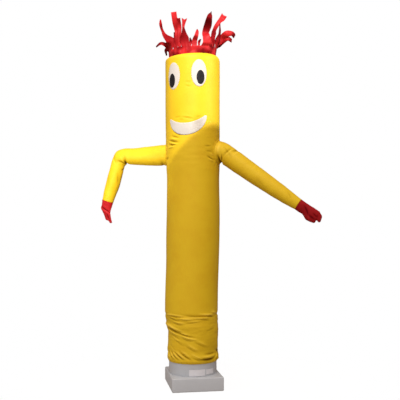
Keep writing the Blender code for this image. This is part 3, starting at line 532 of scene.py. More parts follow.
# Camera: where it stands and its focal length, with the frame's centre line on the tube's middle
FRAME_PIXELS = 400
FOCAL_PIXELS = 700.0
HORIZON_PIXELS = 217.0
CAMERA_AZIMUTH = 14.0
CAMERA_DISTANCE = 3.95
CAMERA_HEIGHT = 0.948
CAMERA_ASIDE = 0.0407
SENSOR_WIDTH = 36.0


def linear(hex_colour):
    """An sRGB hex colour as linear red, green and blue."""
    channels = [int(hex_colour[k:k + 2], 16) / 255.0 for k in (1, 3, 5)]
    return tuple(c / 12.92 if c <= 0.04045 else ((c + 0.055) / 1.055) ** 2.4 for c in channels)


def colour_property(name, description, hex_colour):
    """A colour that a user can change."""
    return FloatVectorProperty(name=name, description=description, subtype="COLOR", size=3, min=0.0, max=1.0,
                               default=linear(hex_colour))


def length_property(name, description, metres, least, most):
    """A length that a user can change."""
    return FloatProperty(name=name, description=description, default=metres, min=least, max=most,
                         unit="LENGTH")


def power_property(name, description, watts):
    """A lamp's power that a user can change."""
    return FloatProperty(name=name, description=description + " in watts", default=watts, min=0.0, max=5000.0)


class AIRDANCER_PG_cloth(bpy.types.PropertyGroup):
    yellow: colour_property("Yellow", "Nylon of the body and arms", "#E9C31D")
    yellow_deep: colour_property("Yellow in creases", "Nylon where it is rubbed or doubled", "#DFAF12")
    # Painted shade for fold troughs and cloth turned from the light, and painted highlight for fold crests
    yellow_dark: colour_property("Yellow painted shade", "Painted shade in folds and cloth turned from the light", "#72500A")
    yellow_pale: colour_property("Yellow painted highlight", "Painted highlight on fold crests", "#FFD94A")
    red: colour_property("Red", "Nylon of the mitts and the fringe", "#C81E22")
    red_deep: colour_property("Red in creases", "Red nylon where it is rubbed or doubled", "#9A1016")
    # Painted shade for red folds, the right mitt and the fringe
    red_dark: colour_property("Red painted shade", "Red nylon turned from the light", "#44040A")
    white: colour_property("White", "Nylon of the eyes and the mouth", "#CEC8BE")
    # Painted shade for the smile where a bend crosses it
    white_dark: colour_property("White painted shade", "Painted shade on white nylon where a bend crosses it", "#8A745C")
    black: colour_property("Black", "Nylon of the pupils", "#120E11")
    wall: length_property("Cloth", "Thickness of the cloth", 0.0012, 0.0005, 0.003)
    slack: FloatProperty(name="Slack", description="How much the small wrinkles stand out", default=1.0,
                         min=0.0, max=2.0)
    thread_spacing: length_property("Weave", "Spacing of the weave as drawn", 0.0016, 0.0003, 0.005)


class AIRDANCER_PG_sewing(bpy.types.PropertyGroup):
    pitch: length_property("Pitch", "From one stitch to the next", 0.0048, 0.001, 0.02)
    length: length_property("Stitch", "Length of one stitch", 0.0034, 0.001, 0.01)
    thread: length_property("Thread", "Thickness of the thread", 0.0007, 0.0002, 0.002)
    satin_pitch: length_property("Edge pitch", "From one edge stitch to the next on a patch", 0.0032, 0.001,
                                 0.01)
    yellow_thread: colour_property("Yellow thread", "Thread of the body's seams", "#E0A90C")
    red_thread: colour_property("Red thread", "Thread of the red seams", "#A8141C")
    white_thread: colour_property("White thread", "Thread round the eyes and the mouth", "#F3ECE2")


class AIRDANCER_PG_blower(bpy.types.PropertyGroup):
    plastic: colour_property("Plastic", "Moulded grey housing", "#C5CACF")
    label: colour_property("Label", "Blank label film", "#E4E5EA")
    edge: length_property("Edge", "Radius of the foot's edges", 0.007, 0.001, 0.02)


class AIRDANCER_PG_stage(bpy.types.PropertyGroup):
    ambient: FloatProperty(name="Ambient", description="Light from all round", default=0.34, min=0.0, max=3.0)
    key: power_property("Key", "Power of the key spotlight", 405.0)
    rim: power_property("Rim", "Power of the side spotlight", 235.0)
    arm: power_property("Arm", "Power of the low spotlight on the bent arm", 185.0)
    fill: power_property("Fill", "Power of the soft fill light", 27.0)
    floor: colour_property("Floor", "Pale floor", "#F4F4F4")


GROUPS = (
    ("airdancer_cloth", AIRDANCER_PG_cloth),
    ("airdancer_sewing", AIRDANCER_PG_sewing),
    ("airdancer_blower", AIRDANCER_PG_blower),
    ("airdancer_stage", AIRDANCER_PG_stage),
)


def add_node(tree, kind, settings=None, inputs=None):
    """Add one node, set what it holds, and set or link its inputs."""
    node = tree.nodes.new(kind)
    for name, value in (settings or {}).items():
        setattr(node, name, value)
    for name, value in (inputs or {}).items():
        if isinstance(value, bpy.types.NodeSocket):
            tree.links.new(value, node.inputs[name])
        else:
            node.inputs[name].default_value = value
    return node


def new_material(name):
    """An empty node material, or the one already made under this name."""
    made = bpy.data.materials.get(name)
    if made:
        return made, None
    made = bpy.data.materials.new(name)
    made.use_nodes = True
    made.node_tree.nodes.clear()
    return made, made.node_tree


def finish_tree(tree, shader):
    """Send the shader to the material's output."""
    add_node(tree, "ShaderNodeOutputMaterial", inputs={"Surface": shader.outputs["BSDF"]})


# A Wave texture's bands are this wide for a scale of 1
WAVE_PERIOD = 2 * math.pi / 20


def nylon(name, colour, deep, dark, pale, spacing, roughness=0.52):
    """Woven and coated nylon: an even plain weave, soft sheen along edges, fine crinkles left by the air.

    The real threads lie about 0.3 mm apart, too fine to show, so the weave is drawn coarser. The piece's
    fold shade attribute paints shade into fold troughs and onto parts turned from the light, darkening the
    colour and cutting its specular, and its fold highlight attribute paints a highlight on fold crests.
    """
    made, tree = new_material(name)
    if tree is None:
        return made
    uv = add_node(tree, "ShaderNodeUVMap", {"uv_map": "cloth"}).outputs["UV"]
    place = add_node(tree, "ShaderNodeTexCoord").outputs["Object"]
    weave = []
    for direction in ("X", "Y"):
        wave = add_node(tree, "ShaderNodeTexWave", {"bands_direction": direction},
                        {"Vector": uv, "Scale": WAVE_PERIOD / spacing, "Distortion": 0.4, "Detail": 1.0})
        weave.append(wave.outputs["Fac"])
    threads = add_node(tree, "ShaderNodeMath", {"operation": "MULTIPLY"}, {0: weave[0], 1: weave[1]})
    tone = add_node(tree, "ShaderNodeTexNoise", inputs={"Vector": place, "Scale": 9.0, "Detail": 3.0,
                                                        "Roughness": 0.55})
    share = add_node(tree, "ShaderNodeMapRange", inputs={"Value": tone.outputs["Fac"], "From Min": 0.42,
                                                         "From Max": 0.72, "To Min": 0.0, "To Max": 0.45})
    tint = add_node(tree, "ShaderNodeMix", {"data_type": "RGBA"},
                    {"Factor": share.outputs["Result"], 6: (*colour, 1.0), 7: (*deep, 1.0)})
    # Painted shade in fold troughs, which also cuts the specular, and painted highlight on fold crests
    doubled = add_node(tree, "ShaderNodeAttribute", {"attribute_name": "fold_depth"}).outputs["Fac"]
    tint = add_node(tree, "ShaderNodeMix", {"data_type": "RGBA"},
                    {"Factor": doubled, 6: tint.outputs[2], 7: (*dark, 1.0)})
    fold_highlight_mask = add_node(tree, "ShaderNodeAttribute", {"attribute_name": "fold_ridge"}).outputs["Fac"]
    tint = add_node(tree, "ShaderNodeMix", {"data_type": "RGBA"},
                    {"Factor": fold_highlight_mask, 6: tint.outputs[2], 7: (*pale, 1.0)})
    shine = add_node(tree, "ShaderNodeMapRange", inputs={"Value": doubled, "From Max": 0.6, "To Min": 0.22,
                                                         "To Max": 0.02})
    crinkle = add_node(tree, "ShaderNodeTexNoise", inputs={"Vector": place, "Scale": 38.0, "Detail": 4.0,
                                                           "Roughness": 0.62, "Distortion": 0.8})
    crinkle_bump = add_node(tree, "ShaderNodeBump", inputs={"Strength": 0.30, "Distance": 0.0026,
                                                            "Height": crinkle.outputs["Fac"]})
    weave_bump = add_node(tree, "ShaderNodeBump", inputs={"Strength": 0.25, "Distance": 0.0003,
                                                          "Height": threads.outputs[0],
                                                          "Normal": crinkle_bump.outputs["Normal"]})
    gloss = add_node(tree, "ShaderNodeMapRange", inputs={"Value": crinkle.outputs["Fac"], "To Min":
                                                         roughness - 0.06, "To Max": roughness + 0.08})
    shader = add_node(tree, "ShaderNodeBsdfPrincipled", inputs={
        "Base Color": tint.outputs[2], "Roughness": gloss.outputs["Result"], "IOR": 1.53,
        "Normal": weave_bump.outputs["Normal"], "Sheen Weight": 0.03, "Sheen Roughness": 0.4,
        "Specular IOR Level": shine.outputs["Result"]})
    finish_tree(tree, shader)
    return made


def thread_material(name, colour):
    """Spun polyester thread: matt, with a fine twist along it."""
    made, tree = new_material(name)
    if tree is None:
        return made
    place = add_node(tree, "ShaderNodeTexCoord").outputs["Object"]
    fibre = add_node(tree, "ShaderNodeTexNoise", inputs={"Vector": place, "Scale": 900.0, "Detail": 2.0})
    dark = tuple(0.7 * c for c in colour)
    tint = add_node(tree, "ShaderNodeMix", {"data_type": "RGBA"},
                    {"Factor": fibre.outputs["Fac"], 6: (*colour, 1.0), 7: (*dark, 1.0)})
    bump = add_node(tree, "ShaderNodeBump", inputs={"Strength": 0.4, "Distance": 0.0002,
                                                    "Height": fibre.outputs["Fac"]})
    shader = add_node(tree, "ShaderNodeBsdfPrincipled", inputs={
        "Base Color": tint.outputs[2], "Roughness": 0.7, "Normal": bump.outputs["Normal"]})
    finish_tree(tree, shader)
    return made


def moulded_plastic(name, colour):
    """Injection-moulded ABS: fine spark-eroded grain, a satin gloss, and dust that dulls it in patches."""
    made, tree = new_material(name)
    if tree is None:
        return made
    place = add_node(tree, "ShaderNodeTexCoord").outputs["Object"]
    grain = add_node(tree, "ShaderNodeTexNoise", inputs={"Vector": place, "Scale": 1400.0, "Detail": 2.0})
    dust = add_node(tree, "ShaderNodeTexNoise", inputs={"Vector": place, "Scale": 14.0, "Detail": 5.0,
                                                        "Roughness": 0.6})
    share = add_node(tree, "ShaderNodeMapRange", inputs={"Value": dust.outputs["Fac"], "From Min": 0.35,
                                                         "From Max": 0.75, "To Min": 0.0, "To Max": 0.5})
    dusty = tuple(0.82 * c + 0.03 for c in colour)
    tint = add_node(tree, "ShaderNodeMix", {"data_type": "RGBA"},
                    {"Factor": share.outputs["Result"], 6: (*colour, 1.0), 7: (*dusty, 1.0)})
    gloss = add_node(tree, "ShaderNodeMapRange", inputs={"Value": dust.outputs["Fac"], "To Min": 0.38,
                                                         "To Max": 0.58})
    bump = add_node(tree, "ShaderNodeBump", inputs={"Strength": 0.12, "Distance": 0.0002,
                                                    "Height": grain.outputs["Fac"]})
    shader = add_node(tree, "ShaderNodeBsdfPrincipled", inputs={
        "Base Color": tint.outputs[2], "Roughness": gloss.outputs["Result"], "IOR": 1.54,
        "Normal": bump.outputs["Normal"]})
    finish_tree(tree, shader)
    return made


def label_film(name, colour):
    """Polyester label film: smooth and a little glossy, with faint waves where it follows the housing."""
    made, tree = new_material(name)
    if tree is None:
        return made
    place = add_node(tree, "ShaderNodeTexCoord").outputs["Object"]
    waves = add_node(tree, "ShaderNodeTexNoise", inputs={"Vector": place, "Scale": 60.0, "Detail": 2.0})
    pale = tuple(0.9 * c for c in colour)
    tint = add_node(tree, "ShaderNodeMix", {"data_type": "RGBA"},
                    {"Factor": waves.outputs["Fac"], 6: (*colour, 1.0), 7: (*pale, 1.0)})
    bump = add_node(tree, "ShaderNodeBump", inputs={"Strength": 0.1, "Distance": 0.0004,
                                                    "Height": waves.outputs["Fac"]})
    shader = add_node(tree, "ShaderNodeBsdfPrincipled", inputs={
        "Base Color": tint.outputs[2], "Roughness": 0.3, "Normal": bump.outputs["Normal"]})
    finish_tree(tree, shader)
    return made


def cloth_finish(colour_name):
    """The nylon of one colour, from the panel's colours."""
    cloth = bpy.context.scene.airdancer_cloth
    white, black = tuple(cloth.white), tuple(cloth.black)
    # Each colour: its material, its own tone, a random deeper tone, its painted shade and its painted
    # highlight
    colours = {
        "yellow": ("yellow coated nylon", cloth.yellow, cloth.yellow_deep, cloth.yellow_dark,
                   cloth.yellow_pale),
        "red": ("red coated nylon", cloth.red, cloth.red_deep, cloth.red_dark, cloth.red),
        "white": ("white coated nylon", white, tuple(0.93 * c for c in white), cloth.white_dark, white),
        "black": ("black coated nylon", black, tuple(0.7 * c for c in black), black, black),
    }
    name, *tones = colours[colour_name]
    return nylon(name, *(tuple(tone) for tone in tones), cloth.thread_spacing)


def add_painted_fold_shade(piece, lift, full):
    """Paint shade into a cloth's fold troughs and a highlight onto its crests: a fold as deep or high as full
    metres counts 1.
    """
    share = np.asarray(lift, float).ravel() / full
    for name, values in (("fold_depth", -share), ("fold_ridge", share)):
        layer = piece.data.attributes.new(name, "FLOAT", "POINT")
        layer.data.foreach_set("value", np.clip(values, 0.0, 1.0).astype(np.float32))


def read_curve(xs, ys, slopes, x):
    """Read at each x the curve that runs through the points (xs, ys) with a slope at each."""
    i = np.clip(np.searchsorted(xs, x) - 1, 0, len(xs) - 2)
    width = xs[i + 1] - xs[i]
    t = (x - xs[i]) / width
    return ((2 * t ** 3 - 3 * t ** 2 + 1) * ys[i] + (t ** 3 - 2 * t ** 2 + t) * width * slopes[i]
            + (3 * t ** 2 - 2 * t ** 3) * ys[i + 1] + (t ** 3 - t ** 2) * width * slopes[i + 1])


def smooth_curve(xs, ys, x):
    """Read a smooth curve through the points (xs, ys) at each x, its slopes limited against overshoot."""
    xs, ys = np.asarray(xs, float), np.asarray(ys, float)
    x = np.clip(np.asarray(x, float), xs[0], xs[-1])
    steps = np.diff(ys) / np.diff(xs)
    slopes = np.zeros(len(xs))
    same = steps[:-1] * steps[1:] > 0
    both = np.where(same, steps[:-1] + steps[1:], 1.0)
    slopes[1:-1] = np.where(same, 2 * steps[:-1] * steps[1:] / both, 0.0)
    return read_curve(xs, ys, slopes, x)


def fold_lift(folds, azimuth, height, radius):
    """How far the folds push the cloth out at each place."""
    total = np.zeros(np.broadcast(azimuth, height).shape)
    for fold in folds:
        turn = (azimuth - fold.azimuth + 180.0) % 360.0 - 180.0
        across = np.radians(turn) * radius
        rise = height - fold.height
        slope = math.radians(fold.slope)
        along = across * math.cos(slope) + rise * math.sin(slope)
        share = np.clip(np.abs(along) / fold.reach, 0.0, 1.0)
        off = rise * math.cos(slope) - across * math.sin(slope) - fold.bow * share ** 2
        crest = np.exp(-np.abs(off / fold.spread) ** fold.sharp)
        total += fold.lift * (1.0 - share ** 2) ** 2 * crest
    return total


def crumple(points, wrinkles):
    """Smooth uneven noise at each point, in level streaks where a wrinkle's up is the larger."""
    flat = points.reshape(-1, 3)
    total = 0.0
    for wrinkle in wrinkles:
        places = flat * (wrinkle.across, wrinkle.across, wrinkle.up) + (wrinkle.seed, 0.0, 0.0)
        total = total + wrinkle.lift * np.array([noise.noise(Vector(p)) for p in places])
    return total.reshape(points.shape[:-1])


def column(rows, name):
    """One column of a table."""
    return [getattr(row, name) for row in rows]


# An armhole: its azimuth, and the middle height, half height and half depth of its sleeve's root
ArmHole = namedtuple("ArmHole", "azimuth height half_height half_depth")


def arm_hole(rows, azimuth):
    """The armhole that a sleeve's first section is sewn to."""
    row = rows[0]
    half = abs(row.top_z - row.low_z) / 2
    return ArmHole(azimuth, (row.top_z + row.low_z) / 2, half, half * row.depth)


ARM_HOLES = (arm_hole(ARM_RIGHT_ROWS, 90.0), arm_hole(ARM_LEFT_ROWS, -90.0))
# Pulls that run out from an armhole's seam: how many, how high and how far, and where they start
PULL_COUNT = 15
PULL_LIFT = 0.0016
PULL_REACH = 0.020
PULL_START = 0.003
# The back seam: how soft its ridge's edge is, and its puckers' lift, reach and pitch
BACK_SEAM_AZIMUTH = 180.0
RIDGE_EDGE = 0.0012
PUCKER_LIFT = 0.0005
PUCKER_REACH = 0.016
PUCKER_PITCH = 0.0062
# Just above the hem, up to this far, the cloth lies flat on the housing
HEM_CALM = 0.010


def hole_distance(hole, azimuth, height):
    """How far outside an armhole's seam each place lies, and its direction from the hole's middle."""
    turn = (azimuth - hole.azimuth + 180.0) % 360.0 - 180.0
    across = np.sin(np.radians(np.clip(turn, -90, 90))) * TUBE_RADIUS
    rise = height - hole.height
    angle = np.arctan2(rise / hole.half_height, across / hole.half_depth)
    size = np.hypot(rise / hole.half_height, across / hole.half_depth)
    away = np.where(np.abs(turn) < 90, (size - 1.0) * hole.half_height, 1.0)
    return away, angle


def crown_droop(azimuth):
    """How much lower the vent's rim hangs at an azimuth."""
    return DROOP * (0.5 + 0.5 * np.cos(np.radians(azimuth - DROOP_AZIMUTH)))


def armhole_pulls(azimuth, height):
    """How far the pulls round both armholes push the cloth out."""
    lift = 0.0
    for hole in ARM_HOLES:
        away, direction = hole_distance(hole, azimuth, height)
        away = np.clip(away, 0.0, 1.0)
        fade = np.exp(-away / PULL_REACH) * (1 - np.exp(-away / PULL_START))
        lift = lift + PULL_LIFT * fade * np.sin(direction * PULL_COUNT + 2.5 * np.sin(direction * 3.0))
    return lift


def back_seam(azimuth, height):
    """How far the back seam's ridge and its puckers push the cloth out."""
    seam = np.abs((azimuth - BACK_SEAM_AZIMUTH + 180.0) % 360.0 - 180.0) * math.radians(1) * TUBE_RADIUS
    ridge = 1.0 / (1.0 + np.exp((seam - SEAM_WIDTH) / RIDGE_EDGE))
    pucker = np.exp(-(seam / PUCKER_REACH) ** 2) * np.sin(height / PUCKER_PITCH + 1.7 * np.sin(height * 31.0))
    return SEAM_LIFT * ridge + PUCKER_LIFT * pucker


def tube_surface(azimuth, height, off=0.0):
    """Points on the dressed tube's outer skin, or off metres outside it."""
    azimuth, height = np.broadcast_arrays(np.asarray(azimuth, float), np.asarray(height, float))
    level = np.minimum(height, SHOULDER_HEIGHT)
    base, sway, loose = (smooth_curve(column(TUBE_ROWS, "height"), column(TUBE_ROWS, name), level)
                         for name in ("radius", "sway", "slack"))
    angle = np.radians(azimuth)
    outwards = np.stack([np.sin(angle), -np.cos(angle), np.zeros_like(angle)], axis=-1)
    rough = outwards * TUBE_RADIUS + np.stack([0 * height, 0 * height, height], axis=-1)
    slack = loose * bpy.context.scene.airdancer_cloth.slack
    lift = fold_lift(TUBE_FOLDS, azimuth, height, TUBE_RADIUS)
    lift = lift + slack * crumple(rough, SLACK_WRINKLES) + crumple(rough, BROAD_WRINKLES)
    lift = lift + armhole_pulls(azimuth, height) + back_seam(azimuth, height)
    calm = np.clip((height - HEM_HEIGHT) / HEM_CALM, 0.0, 1.0)
    crown = np.clip((height - SHOULDER_HEIGHT) / (VENT_HEIGHT - SHOULDER_HEIGHT), 0.0, 1.0)
    drawn_in = (TUBE_RADIUS - VENT_RADIUS) * (1.0 - np.sqrt(1.0 - crown ** 2))
    radius = base + lift * calm + off - drawn_in
    points = outwards * radius[..., None]
    points[..., 0] += sway
    reach = np.hypot(points[..., 0], points[..., 1])
    clear = (drum_radius(height) + HEM_SEAT + off) / reach
    points *= np.where(height < DRUM_HIGH.z + HEM_SEAT, np.maximum(clear, 1.0), 1.0)[..., None]
    points[..., 2] = height - crown_droop(azimuth) * crown ** 1.5
    return points


def grid_faces(rows, columns, closed=True):
    """Quads of a grid of points, row by row, with its last column joined to the first where closed."""
    across = columns if closed else columns - 1
    r, c = np.meshgrid(np.arange(rows - 1), np.arange(across), indexing="ij")
    a = (r * columns + c).ravel()
    b = (r * columns + (c + 1) % columns).ravel()
    return np.stack([a, b, b + columns, a + columns], axis=-1)


def add_cloth_uv(mesh, flat):
    """Give a mesh the cloth's own flat coordinates in metres, one pair for each corner of each face."""
    layer = mesh.uv_layers.new(name="cloth")
    layer.data.foreach_set("uv", np.asarray(flat, np.float32).ravel())


def mesh_piece(name, points, faces, material, corner_uv=None):
    """A smooth-shaded object at the origin from points and faces."""
    mesh = bpy.data.meshes.new(name)
    corners = [tuple(int(i) for i in face) for face in faces]
    mesh.from_pydata([tuple(p) for p in np.asarray(points, float)], [], corners)
    if corner_uv is not None:
        add_cloth_uv(mesh, corner_uv)
    mesh.materials.append(material)
    mesh.shade_smooth()
    mesh.update()
    piece = bpy.data.objects.new(name, mesh)
    bpy.context.scene.collection.objects.link(piece)
    return piece


def closed_uv(faces, u, v, girth):
    """Corner coordinates for a closed grid: the last column's far corners get the full girth."""
    corner_u, corner_v = u[faces], v[faces]
    wrap = (corner_u.max(axis=1) - corner_u.min(axis=1)) > girth / 2
    corner_u = np.where(wrap[:, None] & (corner_u < girth / 2), corner_u + girth, corner_u)
    return np.stack([corner_u, corner_v], axis=-1).reshape(-1, 2)


def give_wall(piece, thickness, offset):
    """Thicken an open sheet and keep the result as plain mesh."""
    solidify = piece.modifiers.new("wall", "SOLIDIFY")
    solidify.thickness = thickness
    solidify.offset = offset
    solidify.use_even_offset = True
    keep_result(piece)


def keep_result(piece):
    """Replace the object's mesh by what its modifiers make of it."""
    graph = bpy.context.evaluated_depsgraph_get()
    made = bpy.data.meshes.new_from_object(piece.evaluated_get(graph))
    old = piece.data
    piece.modifiers.clear()
    piece.data = made
    made.name = piece.name
    bpy.data.meshes.remove(old)


def mount(piece, slot, *nodes):
    """The piece rides on the body and stands for its nodes, which it hides; the slot argument is not used."""
    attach(piece, BODY)
    if nodes:
        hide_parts(*nodes)


def tube_heights():
    """Heights of the fine rings, from the hem to the vent."""
    heights = [HEM_HEIGHT]
    for span in RING_SPANS:
        low = heights[-1]
        count = max(1, round((span.top - low) / span.step))
        heights += [low + (span.top - low) * (k + 1) / count for k in range(count)]
    rise = VENT_HEIGHT - SHOULDER_HEIGHT
    crown = [math.sin(math.pi / 2 * k / CROWN_STEPS) for k in range(1, CROWN_STEPS + 1)]
    return np.array(heights + [SHOULDER_HEIGHT + rise * share for share in crown])


# Inside the seam, this much of the tube's cloth is kept round each armhole
HOLE_MARGIN = 0.010
# A fold this deep gets the full painted shade in its trough, or this high the full painted highlight, on the
# tube and on a limb
FOLD_FULL_DEPTH = 0.009
LIMB_FULL_DEPTH = 0.006


class AIRDANCER_OT_body(bpy.types.Operator):
    """Sew the head and body tube with its folds, armholes, hem and vent"""
    bl_idname = "airdancer.body"
    bl_label = "Head and body tube"

    def execute(self, context):
        heights = tube_heights()
        azimuths = np.arange(TUBE_SIDES) * 360.0 / TUBE_SIDES - 180.0
        grid_a, grid_h = np.meshgrid(azimuths, heights)
        points = tube_surface(grid_a, grid_h)
        faces = grid_faces(len(heights), TUBE_SIDES)
        inside = np.zeros(grid_a.shape, bool)
        for hole in ARM_HOLES:
            away, _ = hole_distance(hole, grid_a, grid_h)
            inside |= away < -HOLE_MARGIN
        faces = faces[~inside.ravel()[faces].all(axis=1)]
        girth = 2 * math.pi * TUBE_RADIUS
        u = ((grid_a + 180.0) / 360.0 * girth).ravel()
        uv = closed_uv(faces, u, grid_h.ravel(), girth)
        tube = mesh_piece("body_cloth", points.reshape(-1, 3), faces, cloth_finish("yellow"), uv)
        # Painted shade in the folds' troughs and painted highlight on their crests
        add_painted_fold_shade(tube, fold_lift(TUBE_FOLDS, grid_a, grid_h, TUBE_RADIUS), FOLD_FULL_DEPTH)
        drop_loose(tube)
        give_wall(tube, context.scene.airdancer_cloth.wall, -1.0)
        mount(tube, "yellow_nylon", "body_tube")
        return {"FINISHED"}


def drop_loose(piece):
    """Remove points that no face uses."""
    work = bmesh.new()
    work.from_mesh(piece.data)
    bmesh.ops.delete(work, geom=[v for v in work.verts if not v.link_faces], context="VERTS")
    work.to_mesh(piece.data)
    work.free()


def limb_frame(rows, step):
    """Smooth sections of a limb: middles, half vectors to the top edge, depths and lengths from the root."""
    tops = np.array([(row.top_x, 0.0, row.top_z) for row in rows])
    lows = np.array([(row.low_x, 0.0, row.low_z) for row in rows])
    middles = (tops + lows) / 2
    reach = np.concatenate([[0.0], np.cumsum(np.linalg.norm(np.diff(middles, axis=0), axis=1))])
    count = max(4, round(reach[-1] / step))
    lengths = np.linspace(0.0, reach[-1], count + 1)
    top, low = (flowing_path(reach, edge, lengths) for edge in (tops, lows))
    depth = flowing(reach, np.array(column(rows, "depth")), lengths)
    return (top + low) / 2, (top - low) / 2, depth, lengths


def flowing(xs, ys, x):
    """A smooth curve that may round its points a little, for outlines that bend."""
    xs, ys = np.asarray(xs, float), np.asarray(ys, float)
    steps = np.diff(ys) / np.diff(xs)
    slopes = np.concatenate([[steps[0]], (steps[:-1] + steps[1:]) / 2, [steps[-1]]])
    return read_curve(xs, ys, slopes, x)


def flowing_path(marks, places, steps):
    """Points of a smooth path through places that lie at marks along it."""
    return np.stack([flowing(marks, places[:, k], steps) for k in range(3)], axis=-1)


def limb_surface(limb):
    """A grid of points on a limb's skin, its directions outwards, and the length and fold of each point."""
    middles, halves, depth, lengths = limb_frame(limb.rows, limb.step)
    angles = np.arange(limb.sides) * 360.0 / limb.sides
    turn = np.radians(angles)
    half_size = np.linalg.norm(halves, axis=1)
    out = (halves[:, None, :] * np.cos(turn)[None, :, None]
           + np.array([0.0, -1.0, 0.0]) * (half_size * depth)[:, None, None] * np.sin(turn)[None, :, None])
    away = out / np.linalg.norm(out, axis=-1, keepdims=True)
    points = middles[:, None, :] + out
    grid_a, grid_l = np.meshgrid(angles, lengths)
    folded = fold_lift(limb.folds, grid_a, grid_l, half_size[:, None])
    wrinkles = [Wrinkle(share, scale, scale, limb.seed) for share, scale in LIMB_WRINKLES]
    lift = folded + bpy.context.scene.airdancer_cloth.slack * limb.wrinkle * crumple(points, wrinkles)
    return points + away * lift[..., None], away, grid_l, folded


def root_azimuth(points, side):
    """The azimuths at which points of a sleeve's root meet the tube."""
    turn = np.degrees(np.arcsin(np.clip(points[:, 1] / TUBE_RADIUS, -1.0, 1.0)))
    return 90.0 + turn if side > 0 else -90.0 - turn


def seat_limb(points, limb):
    """Bend a sleeve's first rings so that its root lies on the dressed tube, with a flat seam round it."""
    root = points[0]
    skin = tube_surface(root_azimuth(root, limb.side), root[:, 2], ROOT_SEAT)
    shift = skin[:, 0] - root[:, 0]
    fade = np.clip(1.0 - np.arange(len(points)) * limb.step / ROOT_REACH, 0.0, 1.0)[:, None]
    points[..., 0] += shift[None, :] * fade ** 2
    spread = root - root.mean(axis=0)
    spread[:, 0] = 0.0
    spread /= np.linalg.norm(spread, axis=1, keepdims=True)
    flange = root + spread * SEAM_WIDTH
    flange = tube_surface(root_azimuth(flange, limb.side), flange[:, 2], ROOT_SEAT + FLANGE_LIFT)
    half_way = (flange + root) / 2
    half_way[:, 0] += limb.side * CREST_LIFT
    return np.concatenate([flange[None], half_way[None], points], axis=0)


def limb_cut(points, lengths):
    """A limb's flat cut: its widest girth, its length and its area, which narrows with the limb."""
    steps = np.linalg.norm(points - np.roll(points, 1, axis=1), axis=-1)
    girths = steps.sum(axis=1)
    area = float(np.sum((girths[1:] + girths[:-1]) / 2 * np.diff(lengths)))
    return float(girths.max()), float(lengths[-1] - lengths[0]), area


def limb_piece(name, points, lengths, material, closed_end):
    """The cloth of a limb from its grid of points, shut at its end where asked."""
    rows, sides = points.shape[:2]
    girth = limb_cut(points, lengths)[0]
    faces = [tuple(f) for f in grid_faces(rows, sides)]
    u = np.tile(np.arange(sides) * girth / sides, rows)
    v = np.repeat(lengths, sides)
    uv = closed_uv(np.array(faces), u, v, girth)
    flat = points.reshape(-1, 3)
    if closed_end:
        last = (rows - 1) * sides
        tip = flat[last:].mean(axis=0)
        flat = np.concatenate([flat, [tip]])
        shut = [(last + k, last + (k + 1) % sides, len(flat) - 1) for k in range(sides)]
        faces += shut
        ends = np.array([[(u[a], v[a]), (u[b], v[b]), (u[a], v[a] + TIP_CLOTH)] for a, b, _ in shut])
        uv = np.concatenate([uv, ends.reshape(-1, 2)])
    piece = mesh_piece(name, flat, faces, material, uv)
    point_outwards(piece)
    return piece


def point_outwards(piece):
    """Turn every face of an open sheet outwards, away from the limb's inside."""
    work = bmesh.new()
    work.from_mesh(piece.data)
    bmesh.ops.recalc_face_normals(work, faces=work.faces)
    work.to_mesh(piece.data)
    work.free()


class AIRDANCER_OT_arms(bpy.types.Operator):
    """Sew both sleeves, from the armholes to the wrists"""
    bl_idname = "airdancer.arms"
    bl_label = "Arms"

    def execute(self, context):
        for limb in ARMS:
            points, _, lengths, folded = limb_surface(limb)
            points = seat_limb(points, limb)
            ring = np.concatenate([[-SEAM_WIDTH, -SEAM_WIDTH / 2], lengths[:, 0]])
            arm = limb_piece(f"{limb.name}_cloth", points, ring, cloth_finish("yellow"), False)
            # Painted shade in the folds' troughs and painted highlight on their crests
            add_painted_fold_shade(arm, np.concatenate([folded[:1], folded[:1], folded]), LIMB_FULL_DEPTH)
            give_wall(arm, context.scene.airdancer_cloth.wall, -1.0)
            mount(arm, "yellow_nylon", limb.name)
        return {"FINISHED"}


class AIRDANCER_OT_mitts(bpy.types.Operator):
    """Sew both mitts to the wrists"""
    bl_idname = "airdancer.mitts"
    bl_label = "Mitts"

    def execute(self, context):
        for limb in MITTS:
            points, away, lengths, folded = limb_surface(limb)
            ring = lengths[:, 0]
            cuff = np.clip(1.0 - ring / SEAM_WIDTH, 0.0, 1.0)[:, None, None]
            points = points + away * cuff * SEAM_LIFT
            mitt = limb_piece(f"{limb.name}_cloth", points, ring, cloth_finish("red"), True)
            # Painted shade in the folds, laid over all of the right mitt's red too
            add_painted_fold_shade(mitt, np.append(folded, 0.0) - limb.dark * LIMB_FULL_DEPTH, LIMB_FULL_DEPTH)
            give_wall(mitt, context.scene.airdancer_cloth.wall, -1.0)
            mount(mitt, "red_nylon", limb.name)
        return {"FINISHED"}


def ellipse_points(row, share, off):
    """Points round an oval patch, share of the way out to its edge."""
    angle = np.arange(ELLIPSE_SIDES) * 2 * math.pi / ELLIPSE_SIDES
    azimuth = row.azimuth + row.half_angle * share * np.cos(angle)
    return tube_surface(azimuth, row.height + row.half_height * share * np.sin(angle), off), angle


def patch_offset(layer, share):
    """How far a patch lies off the cloth: its edge is sewn down closer than its middle."""
    puff = PATCH_PUFF * (1.0 - share ** 4)
    return PATCH_SEAT + layer * (LAYER_SEAT - PATCH_SEAT) + puff


